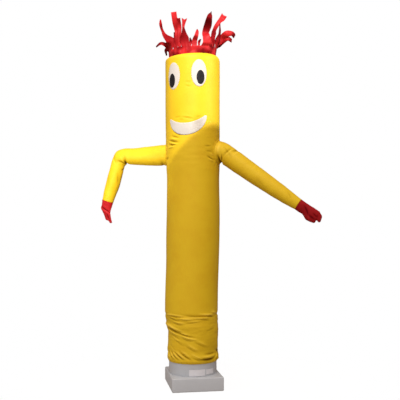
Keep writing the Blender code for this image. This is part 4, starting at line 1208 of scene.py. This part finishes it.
def make_ellipse(row, material):
    """One oval patch that follows the round head."""
    centre = tube_surface(np.array([row.azimuth]), np.array([row.height]), patch_offset(row.layer, 0.0))
    points, flat = [centre], [np.zeros((1, 2))]
    for ring in range(1, ELLIPSE_RINGS + 1):
        share = ring / ELLIPSE_RINGS
        made, angle = ellipse_points(row, share, patch_offset(row.layer, share))
        points.append(made)
        arc = math.radians(row.half_angle) * TUBE_RADIUS
        flat.append(np.stack([arc * share * np.cos(angle), row.half_height * share * np.sin(angle)], axis=-1))
    points, flat = np.concatenate(points), np.concatenate(flat)
    faces = [(0, 1 + k, 1 + (k + 1) % ELLIPSE_SIDES) for k in range(ELLIPSE_SIDES)]
    faces += [tuple(f + 1) for f in grid_faces(ELLIPSE_RINGS, ELLIPSE_SIDES)]
    uv = np.concatenate([flat[list(f)] for f in faces])
    piece = mesh_piece(f"{row.name}_patch", points, faces, material, uv)
    face_away(piece, row.azimuth)
    return piece


def face_away(piece, azimuth):
    """Turn an open patch's faces so that they look away from the tube."""
    angle = math.radians(azimuth)
    if piece.data.polygons[0].normal.dot(Vector((math.sin(angle), -math.cos(angle), 0.0))) < 0:
        piece.data.flip_normals()


def mouth_edges(share):
    """Azimuth, upper and lower height of the smile at each share from its left to its right corner."""
    azimuth = MOUTH_AZIMUTH + MOUTH_HALF_ANGLE * share
    across = np.radians(MOUTH_HALF_ANGLE * share) * TUBE_RADIUS
    chord = MOUTH_HEIGHT + across * math.tan(math.radians(MOUTH_TILT))
    blunt = MOUTH_BLUNT * np.clip(np.abs(share) - MOUTH_BLUNT_FROM, 0.0, 1.0) ** 2
    upper = chord - MOUTH_UPPER_SAG + MOUTH_UPPER_RISE * share ** 2 - blunt
    return azimuth, upper, chord - MOUTH_LOWER_SAG * np.sqrt(1.0 - share ** 2)


def make_mouth(material):
    """The smile: a crescent patch between two arcs."""
    share = np.sin(np.linspace(-math.pi / 2, math.pi / 2, MOUTH_COLUMNS + 1)) * MOUTH_CORNER
    azimuth, upper, lower = mouth_edges(share)
    down = np.linspace(0.0, 1.0, MOUTH_ROWS + 1)
    height = upper[None, :] + (lower - upper)[None, :] * down[:, None]
    edge = np.maximum(np.abs(2 * down - 1)[:, None], np.abs(share)[None, :])
    grid_a = np.broadcast_to(azimuth[None, :], height.shape)
    points = tube_surface(grid_a, height, patch_offset(0, edge))
    faces = grid_faces(MOUTH_ROWS + 1, MOUTH_COLUMNS + 1, closed=False)
    flat = np.stack([np.radians(grid_a) * TUBE_RADIUS, height], axis=-1).reshape(-1, 2)
    piece = mesh_piece("mouth_patch", points.reshape(-1, 3), faces, material, flat[faces].reshape(-1, 2))
    # Painted shade where the bend crosses the smile's right part
    add_painted_fold_shade(piece, fold_lift(TUBE_FOLDS, grid_a, height, TUBE_RADIUS), FOLD_FULL_DEPTH)
    face_away(piece, MOUTH_AZIMUTH)
    return piece


class AIRDANCER_OT_face(bpy.types.Operator):
    """Lay the eyes, the pupils and the smile on the head"""
    bl_idname = "airdancer.face"
    bl_label = "Face patches"

    def execute(self, context):
        for row in ELLIPSE_ROWS:
            colour = "black" if row.layer else "white"
            piece = make_ellipse(row, cloth_finish(colour))
            give_wall(piece, PATCH_WALL, 1.0)
            mount(piece, f"{colour}_nylon", row.name)
        mouth = make_mouth(cloth_finish("white"))
        give_wall(mouth, PATCH_WALL, 1.0)
        mount(mouth, "white_nylon", "mouth")
        return {"FINISHED"}


def ease(share):
    """A smooth start and stop from 0 to 1, where it stays."""
    share = min(1.0, share)
    return share ** 2 * (3.0 - 2.0 * share)


def ribbon_grid(ribbon, root_points):
    """Rows of points up a ribbon from the band's own points, each row's painted shade, and the ribbon's area.
    """
    root = root_points.mean(axis=0)
    stations = ribbon.stations
    angle = math.radians(ribbon.azimuth)
    bends = [RIBBON_BEND * k * math.sin(3.0 * angle + 1.7 * k) for k in range(1, len(stations) + 1)]
    places = np.array([root] + [list(seen_from_camera(s.right, s.away + bend, s.up))
                                for s, bend in zip(stations, bends)])
    marks = np.concatenate([[0.0], np.cumsum(np.linalg.norm(np.diff(places, axis=0), axis=1))])
    steps = np.linspace(0.0, marks[-1], RIBBON_STEPS + 1)
    middles = flowing_path(marks, places, steps)
    headings = np.gradient(middles, axis=0)
    widths = smooth_curve(marks, [ribbon.root] + column(stations, "width"), steps)
    turns = smooth_curve(marks, [0.0] + column(stations, "turn"), steps) + RIBBON_LEAN * math.sin(5.0 * angle)
    # Painted shade along the ribbon, from the band's to each station's
    painted_shades = smooth_curve(marks, [BAND_PAINTED_SHADE] + column(stations, "dark"), steps)
    behind = math.cos(angle - math.radians(CAMERA_AZIMUTH)) < BEHIND_SHARE
    toward = Vector((math.sin(angle), -math.cos(angle), 0.0)) if behind else seen_from_camera(0.0, -1.0, 0.0)
    start = Vector(root_points[-1] - root_points[0]).normalized()
    side = 1.0 if Vector(headings[0]).cross(toward).dot(start) >= 0 else -1.0
    spots = np.linspace(-0.5, 0.5, len(root_points))
    rows = []
    for step in range(1, RIBBON_STEPS + 1):
        t = step / RIBBON_STEPS
        heading = Vector(headings[step]).normalized()
        facing = heading.cross(toward).normalized() * side
        facing = Matrix.Rotation(math.radians(turns[step]), 3, heading) @ facing
        twist = ease(t * RIBBON_TURN_RATE)
        across = start * (1.0 - twist) + facing * twist
        across = (across - heading * across.dot(heading)).normalized()
        outer = across.cross(heading)
        width = widths[step]
        cup = RIBBON_CUP * width * (4 * spots ** 2 - 0.3)
        wave = ribbon.ripple * math.sin(9.0 * t + ribbon.azimuth) * np.cos(3.0 * spots + 5.0 * t)
        cut_in = max(0.0, (t - RIBBON_NOTCH_FROM) / (1.0 - RIBBON_NOTCH_FROM))
        notch = ribbon.notch * width * (0.5 - np.abs(spots)) * cut_in
        offs = (cup + wave) * math.sin(t * math.pi / 2)
        made = (middles[step][None, :] + np.outer(spots * width, np.array(across))
                + np.outer(offs, np.array(outer)) - np.outer(notch, np.array(heading)))
        blend = min(1.0, t * RIBBON_FREE_RATE)
        rows.append(made * blend + (root_points + (middles[step] - root)[None, :]) * (1 - blend))
    area = float(np.sum((widths[1:] + widths[:-1]) / 2 * np.diff(steps)))
    return np.array(rows), painted_shades[1:], area


def round_axis(angle, radius, height):
    """Points at an angle in radians from -Y towards +X, a radius from the axis and a height."""
    return np.stack([np.sin(angle) * radius, -np.cos(angle) * radius, height], axis=-1)


def band_grid():
    """The crumpled band on the vent's rim, from its seam on the crown to its top edge, and its painted shade.
    """
    azimuths = np.arange(BAND_COLUMNS) * 360.0 / BAND_COLUMNS - 180.0
    grid_a, grid_s = np.meshgrid(azimuths, np.linspace(0.0, 1.0, BAND_ROWS + 1))
    angle = np.radians(grid_a)
    height = VENT_HEIGHT + BAND_SEAT + (BAND_TOP - VENT_HEIGHT) * grid_s
    radius = BAND_BASE_RADIUS + (BAND_TOP_RADIUS - BAND_BASE_RADIUS) * grid_s
    rough = round_axis(angle, radius, height)
    radius = radius + crumple(rough, BAND_WRINKLES) * np.clip(grid_s * 3.0, 0.0, 1.0)
    points = round_axis(angle, radius, height - crown_droop(grid_a))
    crown = tube_surface(azimuths, VENT_HEIGHT - FLANGE_LIFT)[:, 2] + FLANGE_LIFT
    seam = round_axis(np.radians(azimuths), BAND_BASE_RADIUS + BAND_SEAM, crown)
    # Painted shade over the band, in patches from noise
    dark = BAND_PAINTED_SHADE + crumple(rough, BAND_SHADES)
    dark = np.clip(np.concatenate([dark[:1], dark]), 0.0, 1.0)
    return np.concatenate([seam[None], points]), dark


class AIRDANCER_OT_fringe(bpy.types.Operator):
    """Cut the hair: a band on the vent's rim and its standing ribbons"""
    bl_idname = "airdancer.fringe"
    bl_label = "Ribbon fringe"

    def execute(self, context):
        band, dark = band_grid()
        rows = band.shape[0]
        points = list(band.reshape(-1, 3))
        dark = list(dark.ravel())
        faces = [tuple(f) for f in grid_faces(rows, BAND_COLUMNS)]
        top = (rows - 1) * BAND_COLUMNS
        cloth_area = 2 * math.pi * BAND_TOP_RADIUS * (BAND_TOP - VENT_HEIGHT)
        for ribbon in RIBBONS:
            half = math.degrees(ribbon.root / 2 / BAND_TOP_RADIUS)
            first = round((ribbon.azimuth - half + 180.0) / 360.0 * BAND_COLUMNS)
            last = max(first + 3, round((ribbon.azimuth + half + 180.0) / 360.0 * BAND_COLUMNS))
            below = [top + k % BAND_COLUMNS for k in range(first, last + 1)]
            grid, painted_shades, area = ribbon_grid(ribbon, np.array([points[k] for k in below]))
            for row, tone in zip(grid, painted_shades):
                above = list(range(len(points), len(points) + len(row)))
                points += list(row)
                dark += [tone] * len(row)
                faces += [(below[k], below[k + 1], above[k + 1], above[k]) for k in range(len(row) - 1)]
                below = above
            cloth_area += area
        points = np.array(points)
        flat = np.stack([np.arctan2(points[:, 0], -points[:, 1]) * BAND_TOP_RADIUS, points[:, 2]], axis=-1)
        uv = np.concatenate([flat[list(f)] for f in faces])
        piece = mesh_piece("hair_fringe_cloth", points, faces, cloth_finish("red"), uv)
        # Painted shade on the band and the ribbons
        add_painted_fold_shade(piece, -np.array(dark), 1.0)
        face_away_ring(piece)
        give_wall(piece, context.scene.airdancer_cloth.wall, -1.0)
        mount(piece, "red_nylon", "hair_fringe")
        return {"FINISHED"}


def face_away_ring(piece):
    """Turn a ring of cloth so that its faces look away from the axis."""
    face = piece.data.polygons[BAND_COLUMNS * 2]
    if face.normal.dot(Vector((face.center.x, face.center.y, 0.0))) < 0:
        piece.data.flip_normals()


def stitch_tree():
    """Geometry Nodes: lay stitches along a line, each turned with the line and flat on the cloth."""
    tree = bpy.data.node_groups.get("stitches along a seam")
    if tree:
        return tree
    tree = bpy.data.node_groups.new("stitches along a seam", "GeometryNodeTree")
    face = tree.interface
    face.new_socket("Seam", in_out="INPUT", socket_type="NodeSocketGeometry")
    for name in ("Pitch", "Stitch length", "Thread", "Turn"):
        face.new_socket(name, in_out="INPUT", socket_type="NodeSocketFloat")
    face.new_socket("Thread material", in_out="INPUT", socket_type="NodeSocketMaterial")
    face.new_socket("Stitches", in_out="OUTPUT", socket_type="NodeSocketGeometry")
    given = add_node(tree, "NodeGroupInput").outputs
    line = add_node(tree, "GeometryNodeMeshToCurve", inputs={"Mesh": given["Seam"]})
    even = add_node(tree, "GeometryNodeResampleCurve", {"mode": "LENGTH"},
                    {"Curve": line.outputs["Curve"], "Length": given["Pitch"]})
    away = add_node(tree, "GeometryNodeInputNamedAttribute", {"data_type": "FLOAT_VECTOR"}, {"Name": "away"})
    tangent = add_node(tree, "GeometryNodeInputTangent")
    first = add_node(tree, "FunctionNodeAlignRotationToVector", {"axis": "X"},
                     {"Vector": tangent.outputs["Tangent"]})
    flat = add_node(tree, "FunctionNodeAlignRotationToVector", {"axis": "Z", "pivot_axis": "X"},
                    {"Rotation": first.outputs["Rotation"], "Vector": away.outputs["Attribute"]})
    slant = add_node(tree, "FunctionNodeAxisAngleToRotation", inputs={"Axis": (0.0, 0.0, 1.0),
                                                                    "Angle": given["Turn"]})
    turned = add_node(tree, "FunctionNodeRotateRotation", {"rotation_space": "LOCAL"},
                      {"Rotation": flat.outputs["Rotation"], "Rotate By": slant.outputs["Rotation"]})
    bead = add_node(tree, "GeometryNodeMeshUVSphere", inputs={"Segments": 6, "Rings": 4, "Radius": 0.5})
    size = add_node(tree, "ShaderNodeCombineXYZ", inputs={"X": given["Stitch length"], "Y": given["Thread"],
                                                          "Z": given["Thread"]})
    stitches = add_node(tree, "GeometryNodeInstanceOnPoints", inputs={
        "Points": even.outputs["Curve"], "Instance": bead.outputs["Mesh"],
        "Rotation": turned.outputs["Rotation"], "Scale": size.outputs["Vector"]})
    real = add_node(tree, "GeometryNodeRealizeInstances", inputs={"Geometry": stitches.outputs["Instances"]})
    painted = add_node(tree, "GeometryNodeSetMaterial", inputs={"Geometry": real.outputs["Geometry"],
                                                                "Material": given["Thread material"]})
    add_node(tree, "NodeGroupOutput", inputs={"Stitches": painted.outputs["Geometry"]})
    return tree


def sew(name, seams, pitch, turn, material):
    """One piece of stitches along several seams, each a pair of points and directions away from the cloth."""
    sewing = bpy.context.scene.airdancer_sewing
    points, edges, aways = [], [], []
    for line, away, closed in seams:
        start = len(points)
        points += [tuple(p) for p in line]
        aways += [tuple(a) for a in away]
        count = len(line)
        edges += [(start + k, start + (k + 1) % count) for k in range(count if closed else count - 1)]
    mesh = bpy.data.meshes.new(name)
    mesh.from_pydata(points, edges, [])
    mesh.attributes.new("away", "FLOAT_VECTOR", "POINT").data.foreach_set("vector", np.ravel(aways))
    piece = bpy.data.objects.new(name, mesh)
    bpy.context.scene.collection.objects.link(piece)
    tree = stitch_tree()
    modifier = piece.modifiers.new("stitches", "NODES")
    modifier.node_group = tree
    values = {"Pitch": pitch, "Stitch length": sewing.length, "Thread": sewing.thread, "Turn": turn,
              "Thread material": material}
    for item in tree.interface.items_tree:
        if item.in_out == "INPUT" and item.name in values:
            modifier[item.identifier] = values[item.name]
    keep_result(piece)
    piece.data.shade_smooth()
    return piece


def away_from_axis(points):
    """Directions straight away from the tube's axis."""
    flat = np.array(points, float)
    flat[:, 2] = 0.0
    return flat / np.linalg.norm(flat, axis=1, keepdims=True)


def tube_line(azimuth, height, off):
    """A line on the tube with its directions away from the cloth."""
    points = tube_surface(azimuth, height, off)
    return points, away_from_axis(points)


# How far a stitch's middle lies off the cloth, and how much more where the cloth is doubled or stands up
STITCH_OFF = 0.0002
STITCH_OFF_DOUBLED = 0.0004
STITCH_OFF_CREST = 0.0005
# The back seam's two rows: how far from its middle, where they start and stop past the hem and the shoulder,
# and how closely their line is drawn
ROW_INSET = 0.0035
ROW_START = 0.004
ROW_STOP = 0.010
ROW_DRAWN = 0.003
# The hem's two rows, above its edge, and the points of a line all round the tube
HEM_ROWS = (0.006, 0.012)
ROUND_POINTS = 240
# Patches: how far in their edge stitches lie, as a share of the way out and in metres, the points along each
# edge of the smile, and how far a stitch turns from the edge, in degrees
EDGE_SHARE = 0.985
EDGE_INSET = 0.0015
EDGE_POINTS = 90
EDGE_TURN = 62.0


def limb_line(limb, off):
    """The line round a limb that its stitches follow, off metres outside the cloth, and closed."""
    points, away, lengths, _ = limb_surface(limb)
    k = int(np.argmin(np.abs(lengths[:, 0] - limb.stitched)))
    return points[k] + away[k] * off, away[k], True


def standing_line(line, off):
    """A closed line moved off metres away from the tube's axis, with its directions away from it."""
    moved = line + away_from_axis(line) * off
    return moved, away_from_axis(moved), True


def body_seams():
    """The back seam's two rows, the hem's two rows, both armholes and a line round each sleeve."""
    seams = []
    height = np.arange(HEM_HEIGHT + ROW_START, SHOULDER_HEIGHT + ROW_STOP, ROW_DRAWN)
    for side in (-1, 1):
        shift = math.degrees(side * ROW_INSET / TUBE_RADIUS)
        seams.append((*tube_line(BACK_SEAM_AZIMUTH + shift, height, STITCH_OFF), False))
    around = np.linspace(-180.0, 180.0, ROUND_POINTS + 1)[:-1]
    for up in HEM_ROWS:
        seams.append((*tube_line(around, HEM_HEIGHT + up, STITCH_OFF), True))
    for limb in ARMS:
        crest = seat_limb(limb_surface(limb)[0], limb)[1]
        seams += [standing_line(crest, STITCH_OFF_CREST), limb_line(limb, STITCH_OFF)]
    return seams


def trim_seams():
    """A line round the cuff of each mitt, and one round the foot of the fringe's band."""
    band, _ = band_grid()
    return [limb_line(limb, STITCH_OFF_DOUBLED) for limb in MITTS] + [
        standing_line((band[1] + band[2]) / 2, STITCH_OFF_DOUBLED)]


def face_seams():
    """The edges of the eye whites and of the smile."""
    off = PATCH_SEAT + PATCH_WALL + STITCH_OFF
    seams = []
    for row in ELLIPSE_ROWS:
        if row.layer == 0:
            seams.append(standing_line(ellipse_points(row, EDGE_SHARE, off)[0], 0.0))
    azimuth, upper, lower = mouth_edges(np.linspace(-EDGE_SHARE, EDGE_SHARE, EDGE_POINTS))
    smile_a = np.concatenate([azimuth, azimuth[::-1]])
    smile_h = np.concatenate([upper - EDGE_INSET, (lower + EDGE_INSET)[::-1]])
    return seams + [(*tube_line(smile_a, smile_h, off), True)]


class AIRDANCER_OT_stitches(bpy.types.Operator):
    """Sew the stitches of the back seam, hem, armholes, sleeves, cuffs, band and face patches"""
    bl_idname = "airdancer.stitches"
    bl_label = "Stitches"

    def execute(self, context):
        sewing = context.scene.airdancer_sewing
        for name, seams, pitch, turn, colour, shade in (
                ("seam_stitches", body_seams(), sewing.pitch, 0.0, "yellow", sewing.yellow_thread),
                ("trim_stitches", trim_seams(), sewing.pitch, 0.0, "red", sewing.red_thread),
                ("face_stitches", face_seams(), sewing.satin_pitch, EDGE_TURN, "white", sewing.white_thread)):
            thread = thread_material(f"{colour} polyester thread", tuple(shade))
            mount(sew(name, seams, pitch, math.radians(turn), thread), f"{colour}_nylon")
        return {"FINISHED"}


def lathe(name, profile, sides, material):
    """Turn a profile of (radius, height) about Z into a closed solid; its ends lie on the axis."""
    mesh = bpy.data.meshes.new(name)
    mesh.from_pydata([(x, 0.0, z) for x, z in profile], [(k, k + 1) for k in range(len(profile) - 1)], [])
    mesh.materials.append(material)
    piece = bpy.data.objects.new(name, mesh)
    bpy.context.scene.collection.objects.link(piece)
    screw = piece.modifiers.new("turn", "SCREW")
    screw.steps = screw.render_steps = sides
    screw.use_merge_vertices = True
    screw.merge_threshold = 0.00005
    screw.use_smooth_shade = False
    keep_result(piece)
    piece.data.shade_smooth()
    piece.data.set_sharp_from_angle(angle=math.radians(30))
    return piece


def arc(centre, radius, start, end, steps):
    """Points of a profile on an arc, in degrees from +X towards +Z."""
    made = []
    for k in range(steps + 1):
        angle = math.radians(start + (end - start) * k / steps)
        made.append((centre[0] + radius * math.cos(angle), centre[1] + radius * math.sin(angle)))
    return made


class AIRDANCER_OT_blower(bpy.types.Operator):
    """Mould the blower: the round housing and its square foot"""
    bl_idname = "airdancer.blower"
    bl_label = "Blower"

    def execute(self, context):
        blower = context.scene.airdancer_blower
        plastic = moulded_plastic("grey moulded ABS", tuple(blower.plastic))
        low, high = DRUM_LOW.z, DRUM_HIGH.z
        inner_top, inner_foot = DRUM_TOP_RADIUS - DRUM_WALL, DRUM_FOOT_RADIUS - DRUM_WALL
        lip = DRUM_WALL / 2
        floor, fillet = low + DRUM_FLOOR, inner_foot - DRUM_FILLET
        profile = [(0.0, floor), (fillet, floor)]
        profile += arc((fillet, floor + DRUM_FILLET), DRUM_FILLET, -90, 0, 5)
        profile += [(inner_top, high - lip)]
        profile += arc((inner_top + lip, high - lip), lip, 180, 0, 10)
        profile += [(DRUM_FOOT_RADIUS, low + DRUM_CUT_HEIGHT), (DRUM_FOOT_RADIUS - DRUM_CUT_DEPTH, low)]
        profile += [(0.0, low)]
        drum = lathe("blower_housing", profile, DRUM_SIDES, plastic)
        mount(drum, "grey_plastic", "blower_drum")
        bpy.ops.mesh.primitive_cube_add(size=1.0)
        foot = context.object
        foot.name = foot.data.name = "blower_foot"
        place = Matrix.Translation(PLINTH_MIDDLE + Vector((0.0, 0.0, PLINTH_SIZE.z / 2)))
        turn = Matrix.Rotation(math.radians(PLINTH_TURN), 4, "Z")
        foot.data.transform(place @ turn @ Matrix.Diagonal((*PLINTH_SIZE, 1.0)))
        bevel = foot.modifiers.new("edges", "BEVEL")
        bevel.width = blower.edge
        bevel.segments = 5
        keep_result(foot)
        foot.data.materials.clear()
        foot.data.materials.append(plastic)
        foot.data.shade_smooth()
        foot.data.set_sharp_from_angle(angle=math.radians(40))
        mount(foot, "grey_plastic", "blower_plinth")
        return {"FINISHED"}


class AIRDANCER_OT_labels(bpy.types.Operator):
    """Stick the two blank label plates on the housing's foot"""
    bl_idname = "airdancer.labels"
    bl_label = "Blank labels"

    def execute(self, context):
        film = label_film("blank polyester label", tuple(context.scene.airdancer_blower.label))
        for row in PLATE_ROWS:
            half = math.degrees(row.width / 2 / DRUM_FOOT_RADIUS)
            azimuth = np.linspace(row.azimuth - half, row.azimuth + half, PLATE_COLUMNS + 1)
            height = np.linspace(row.low, row.high, PLATE_LINES + 1)
            grid_a, grid_h = np.meshgrid(np.radians(azimuth), height)
            points = round_axis(grid_a, drum_radius(grid_h) + PLATE_SEAT, grid_h)
            faces = grid_faces(PLATE_LINES + 1, PLATE_COLUMNS + 1, closed=False)
            plate = mesh_piece(f"{row.name}_film", points.reshape(-1, 3), faces, film)
            face_away(plate, row.azimuth)
            plate.modifiers.new("wall", "SOLIDIFY").thickness = row.wall * PLATE_WALL_SHARE
            plate.modifiers["wall"].offset = 1.0
            bevel = plate.modifiers.new("edges", "BEVEL")
            bevel.width = PLATE_BEVEL
            bevel.segments = 2
            bevel.angle_limit = math.radians(50)
            keep_result(plate)
            mount(plate, "pale_label", row.name)
        return {"FINISHED"}


# Floor: its radius, where it starts to fade, how much of it shows there, how far it lies under the foot, its
# points, and its own glow, which keeps it pale
FLOOR_RADIUS = 1.2
FLOOR_FADE_FROM = 0.22
FLOOR_COVER = 0.12
FLOOR_DROP = 0.0004
FLOOR_SIDES = 96
FLOOR_GLOW = 0.42


def aim(item, place, target):
    """Put an object at a place, looking at a target."""
    item.location = place
    item.rotation_euler = (Vector(target) - Vector(place)).to_track_quat("-Z", "Y").to_euler()


def seen_from_camera(right, forward, up):
    """A point given from the tube's foot in the camera's directions."""
    angle = math.radians(CAMERA_AZIMUTH)
    across = Vector((math.cos(angle), math.sin(angle), 0.0))
    ahead = Vector((-math.sin(angle), math.cos(angle), 0.0))
    return across * right + ahead * forward + Vector((0.0, 0.0, up))


# Spotlights: their places and aims as seen from the camera, half angle in degrees, how soft the edge of the
# beam is, and the lamp's radius. The key lights the head and leaves the rest in open shade, as the photograph
# has it; the rim lights the head from its side, and the arm light the bent arm.
Spot = namedtuple("Spot", "name place target half_angle blend radius")
SPOTS = (
    Spot("key", (0.0, -3.2, 3.4), (-0.776, 0.0, 2.604), 23.52, 0.025, 0.015),
    Spot("rim", (2.9, -0.78, 2.7), (0.0, 0.0, 1.935), 9.35, 0.02, 0.02),
    Spot("arm", (-1.6, -2.4, 0.6), (-0.37, 0.05, 1.16), 5.4, 0.35, 0.10),
)
FILL_PLACE = (-0.15, -1.75, 3.0)
FILL_TARGET = (0.0, 0.0, 0.9)
FILL_SIZE = 1.0
# The light from all round comes mostly from this side, and is warmer from the other
SKY_SIDE = (-0.28, -0.55, 0.79)
SKY_GAIN = 1.72
SKY_LEAST = 0.20
WARM_WHITE = (1.0, 0.91, 0.87)
WARM_SHADE = (1.0, 0.64, 0.38)


def add_light(kind, name, power, place, target):
    """A light of one kind at a place, aimed at a target, both given as seen from the camera."""
    data = bpy.data.lights.new(name, kind)
    data.energy = power
    lamp = bpy.data.objects.new(name, data)
    bpy.context.scene.collection.objects.link(lamp)
    aim(lamp, seen_from_camera(*place), seen_from_camera(*target))
    return data


class AIRDANCER_OT_stage(bpy.types.Operator):
    """Set the camera, the soft lights and the pale floor"""
    bl_idname = "airdancer.stage"
    bl_label = "Stage"

    def execute(self, context):
        stage = context.scene.airdancer_stage
        data = bpy.data.cameras.new("camera")
        data.sensor_width = SENSOR_WIDTH
        data.lens = FOCAL_PIXELS * SENSOR_WIDTH / FRAME_PIXELS
        data.shift_y = (HORIZON_PIXELS - FRAME_PIXELS / 2) / FRAME_PIXELS
        camera = bpy.data.objects.new("camera", data)
        context.scene.collection.objects.link(camera)
        place = seen_from_camera(CAMERA_ASIDE, -CAMERA_DISTANCE, CAMERA_HEIGHT)
        aim(camera, place, seen_from_camera(CAMERA_ASIDE, 0.0, CAMERA_HEIGHT))
        context.scene.camera = camera
        self.make_world(context, stage.ambient)
        self.make_floor(tuple(stage.floor))
        for spot in SPOTS:
            lamp = add_light("SPOT", spot.name, getattr(stage, spot.name), spot.place, spot.target)
            lamp.spot_size, lamp.spot_blend = math.radians(2 * spot.half_angle), spot.blend
            lamp.shadow_soft_size = spot.radius
        fill = add_light("AREA", "fill", stage.fill, FILL_PLACE, FILL_TARGET)
        fill.size, fill.color = FILL_SIZE, WARM_WHITE
        context.scene.view_settings.view_transform = "Standard"
        return {"FINISHED"}

    @staticmethod
    def make_world(context, strength):
        """Soft light from all round, stronger from one side, and a white backdrop."""
        world = bpy.data.worlds.new("pale studio")
        world.use_nodes = True
        tree = world.node_tree
        tree.nodes.clear()
        camera = add_node(tree, "ShaderNodeLightPath").outputs["Is Camera Ray"]
        way = add_node(tree, "ShaderNodeTexCoord").outputs["Generated"]
        side = add_node(tree, "ShaderNodeVectorMath", {"operation": "DOT_PRODUCT"},
                        {0: way, 1: seen_from_camera(*SKY_SIDE)})
        ramp = add_node(tree, "ShaderNodeMapRange", inputs={
            "Value": side.outputs["Value"], "From Min": -1.0, "To Min": strength * (1.0 - SKY_GAIN),
            "To Max": strength * (1.0 + SKY_GAIN)})
        least = add_node(tree, "ShaderNodeMath", {"operation": "MAXIMUM"},
                         {0: ramp.outputs["Result"], 1: SKY_LEAST})
        warmth = add_node(tree, "ShaderNodeMapRange", inputs={
            "Value": side.outputs["Value"], "From Min": -0.6, "From Max": 0.5})
        tint = add_node(tree, "ShaderNodeMix", {"data_type": "RGBA"}, {
            "Factor": warmth.outputs["Result"], 6: (*WARM_SHADE, 1.0), 7: (*WARM_WHITE, 1.0)})
        sky = add_node(tree, "ShaderNodeBackground", inputs={
            "Color": tint.outputs[2], "Strength": least.outputs[0]})
        paper = add_node(tree, "ShaderNodeBackground", inputs={
            "Color": (1.0, 1.0, 1.0, 1.0), "Strength": 1.0})
        either = add_node(tree, "ShaderNodeMixShader", inputs={
            0: camera, 1: sky.outputs["Background"], 2: paper.outputs["Background"]})
        add_node(tree, "ShaderNodeOutputWorld", inputs={"Surface": either.outputs["Shader"]})
        context.scene.world = world

    @staticmethod
    def make_floor(colour):
        """A round pale floor that fades out at its rim."""
        bpy.ops.mesh.primitive_circle_add(vertices=FLOOR_SIDES, radius=FLOOR_RADIUS, fill_type="NGON",
                                          location=(0.0, 0.0, -FLOOR_DROP))
        floor = bpy.context.object
        floor.name = floor.data.name = "floor"
        material, tree = new_material("pale studio floor")
        place = add_node(tree, "ShaderNodeTexCoord").outputs["Object"]
        reach = add_node(tree, "ShaderNodeVectorMath", {"operation": "LENGTH"}, {0: place})
        fade = add_node(tree, "ShaderNodeMapRange", {"interpolation_type": "SMOOTHSTEP"}, {
            "Value": reach.outputs["Value"], "From Min": FLOOR_FADE_FROM, "From Max": FLOOR_RADIUS,
            "To Min": FLOOR_COVER, "To Max": 0.0})
        shader = add_node(tree, "ShaderNodeBsdfPrincipled", inputs={
            "Base Color": (*colour, 1.0), "Roughness": 0.8, "Specular IOR Level": 0.1,
            "Emission Color": (1.0, 1.0, 1.0, 1.0), "Emission Strength": FLOOR_GLOW,
            "Alpha": fade.outputs["Result"]})
        finish_tree(tree, shader)
        floor.data.materials.append(material)


class AIRDANCER_PT_panel(bpy.types.Panel):
    """Lists the pieces and their sizes"""
    bl_label = "Air dancer"
    bl_idname = "AIRDANCER_PT_panel"
    bl_space_type = "VIEW_3D"
    bl_region_type = "UI"
    bl_category = "Air dancer"

    def draw(self, context):
        layout = self.layout
        for operator in OPERATORS:
            layout.operator(operator.bl_idname)
        for name, group in GROUPS:
            box = layout.box()
            for prop in group.__annotations__:
                box.prop(getattr(context.scene, name), prop)


OPERATORS = (
    AIRDANCER_OT_body,
    AIRDANCER_OT_arms,
    AIRDANCER_OT_mitts,
    AIRDANCER_OT_face,
    AIRDANCER_OT_fringe,
    AIRDANCER_OT_stitches,
    AIRDANCER_OT_blower,
    AIRDANCER_OT_labels,
    AIRDANCER_OT_stage,
)


def register():
    for name, group in GROUPS:
        bpy.utils.register_class(group)
        setattr(bpy.types.Scene, name, PointerProperty(type=group))
    for operator in OPERATORS:
        bpy.utils.register_class(operator)
    bpy.utils.register_class(AIRDANCER_PT_panel)


def unregister():
    bpy.utils.unregister_class(AIRDANCER_PT_panel)
    for operator in reversed(OPERATORS):
        bpy.utils.unregister_class(operator)
    for name, group in reversed(GROUPS):
        delattr(bpy.types.Scene, name)
        bpy.utils.unregister_class(group)


def main():
    register()
    for operator in OPERATORS:
        family, name = operator.bl_idname.split(".")
        getattr(getattr(bpy.ops, family), name)()


if __name__ == "__main__":
    main()
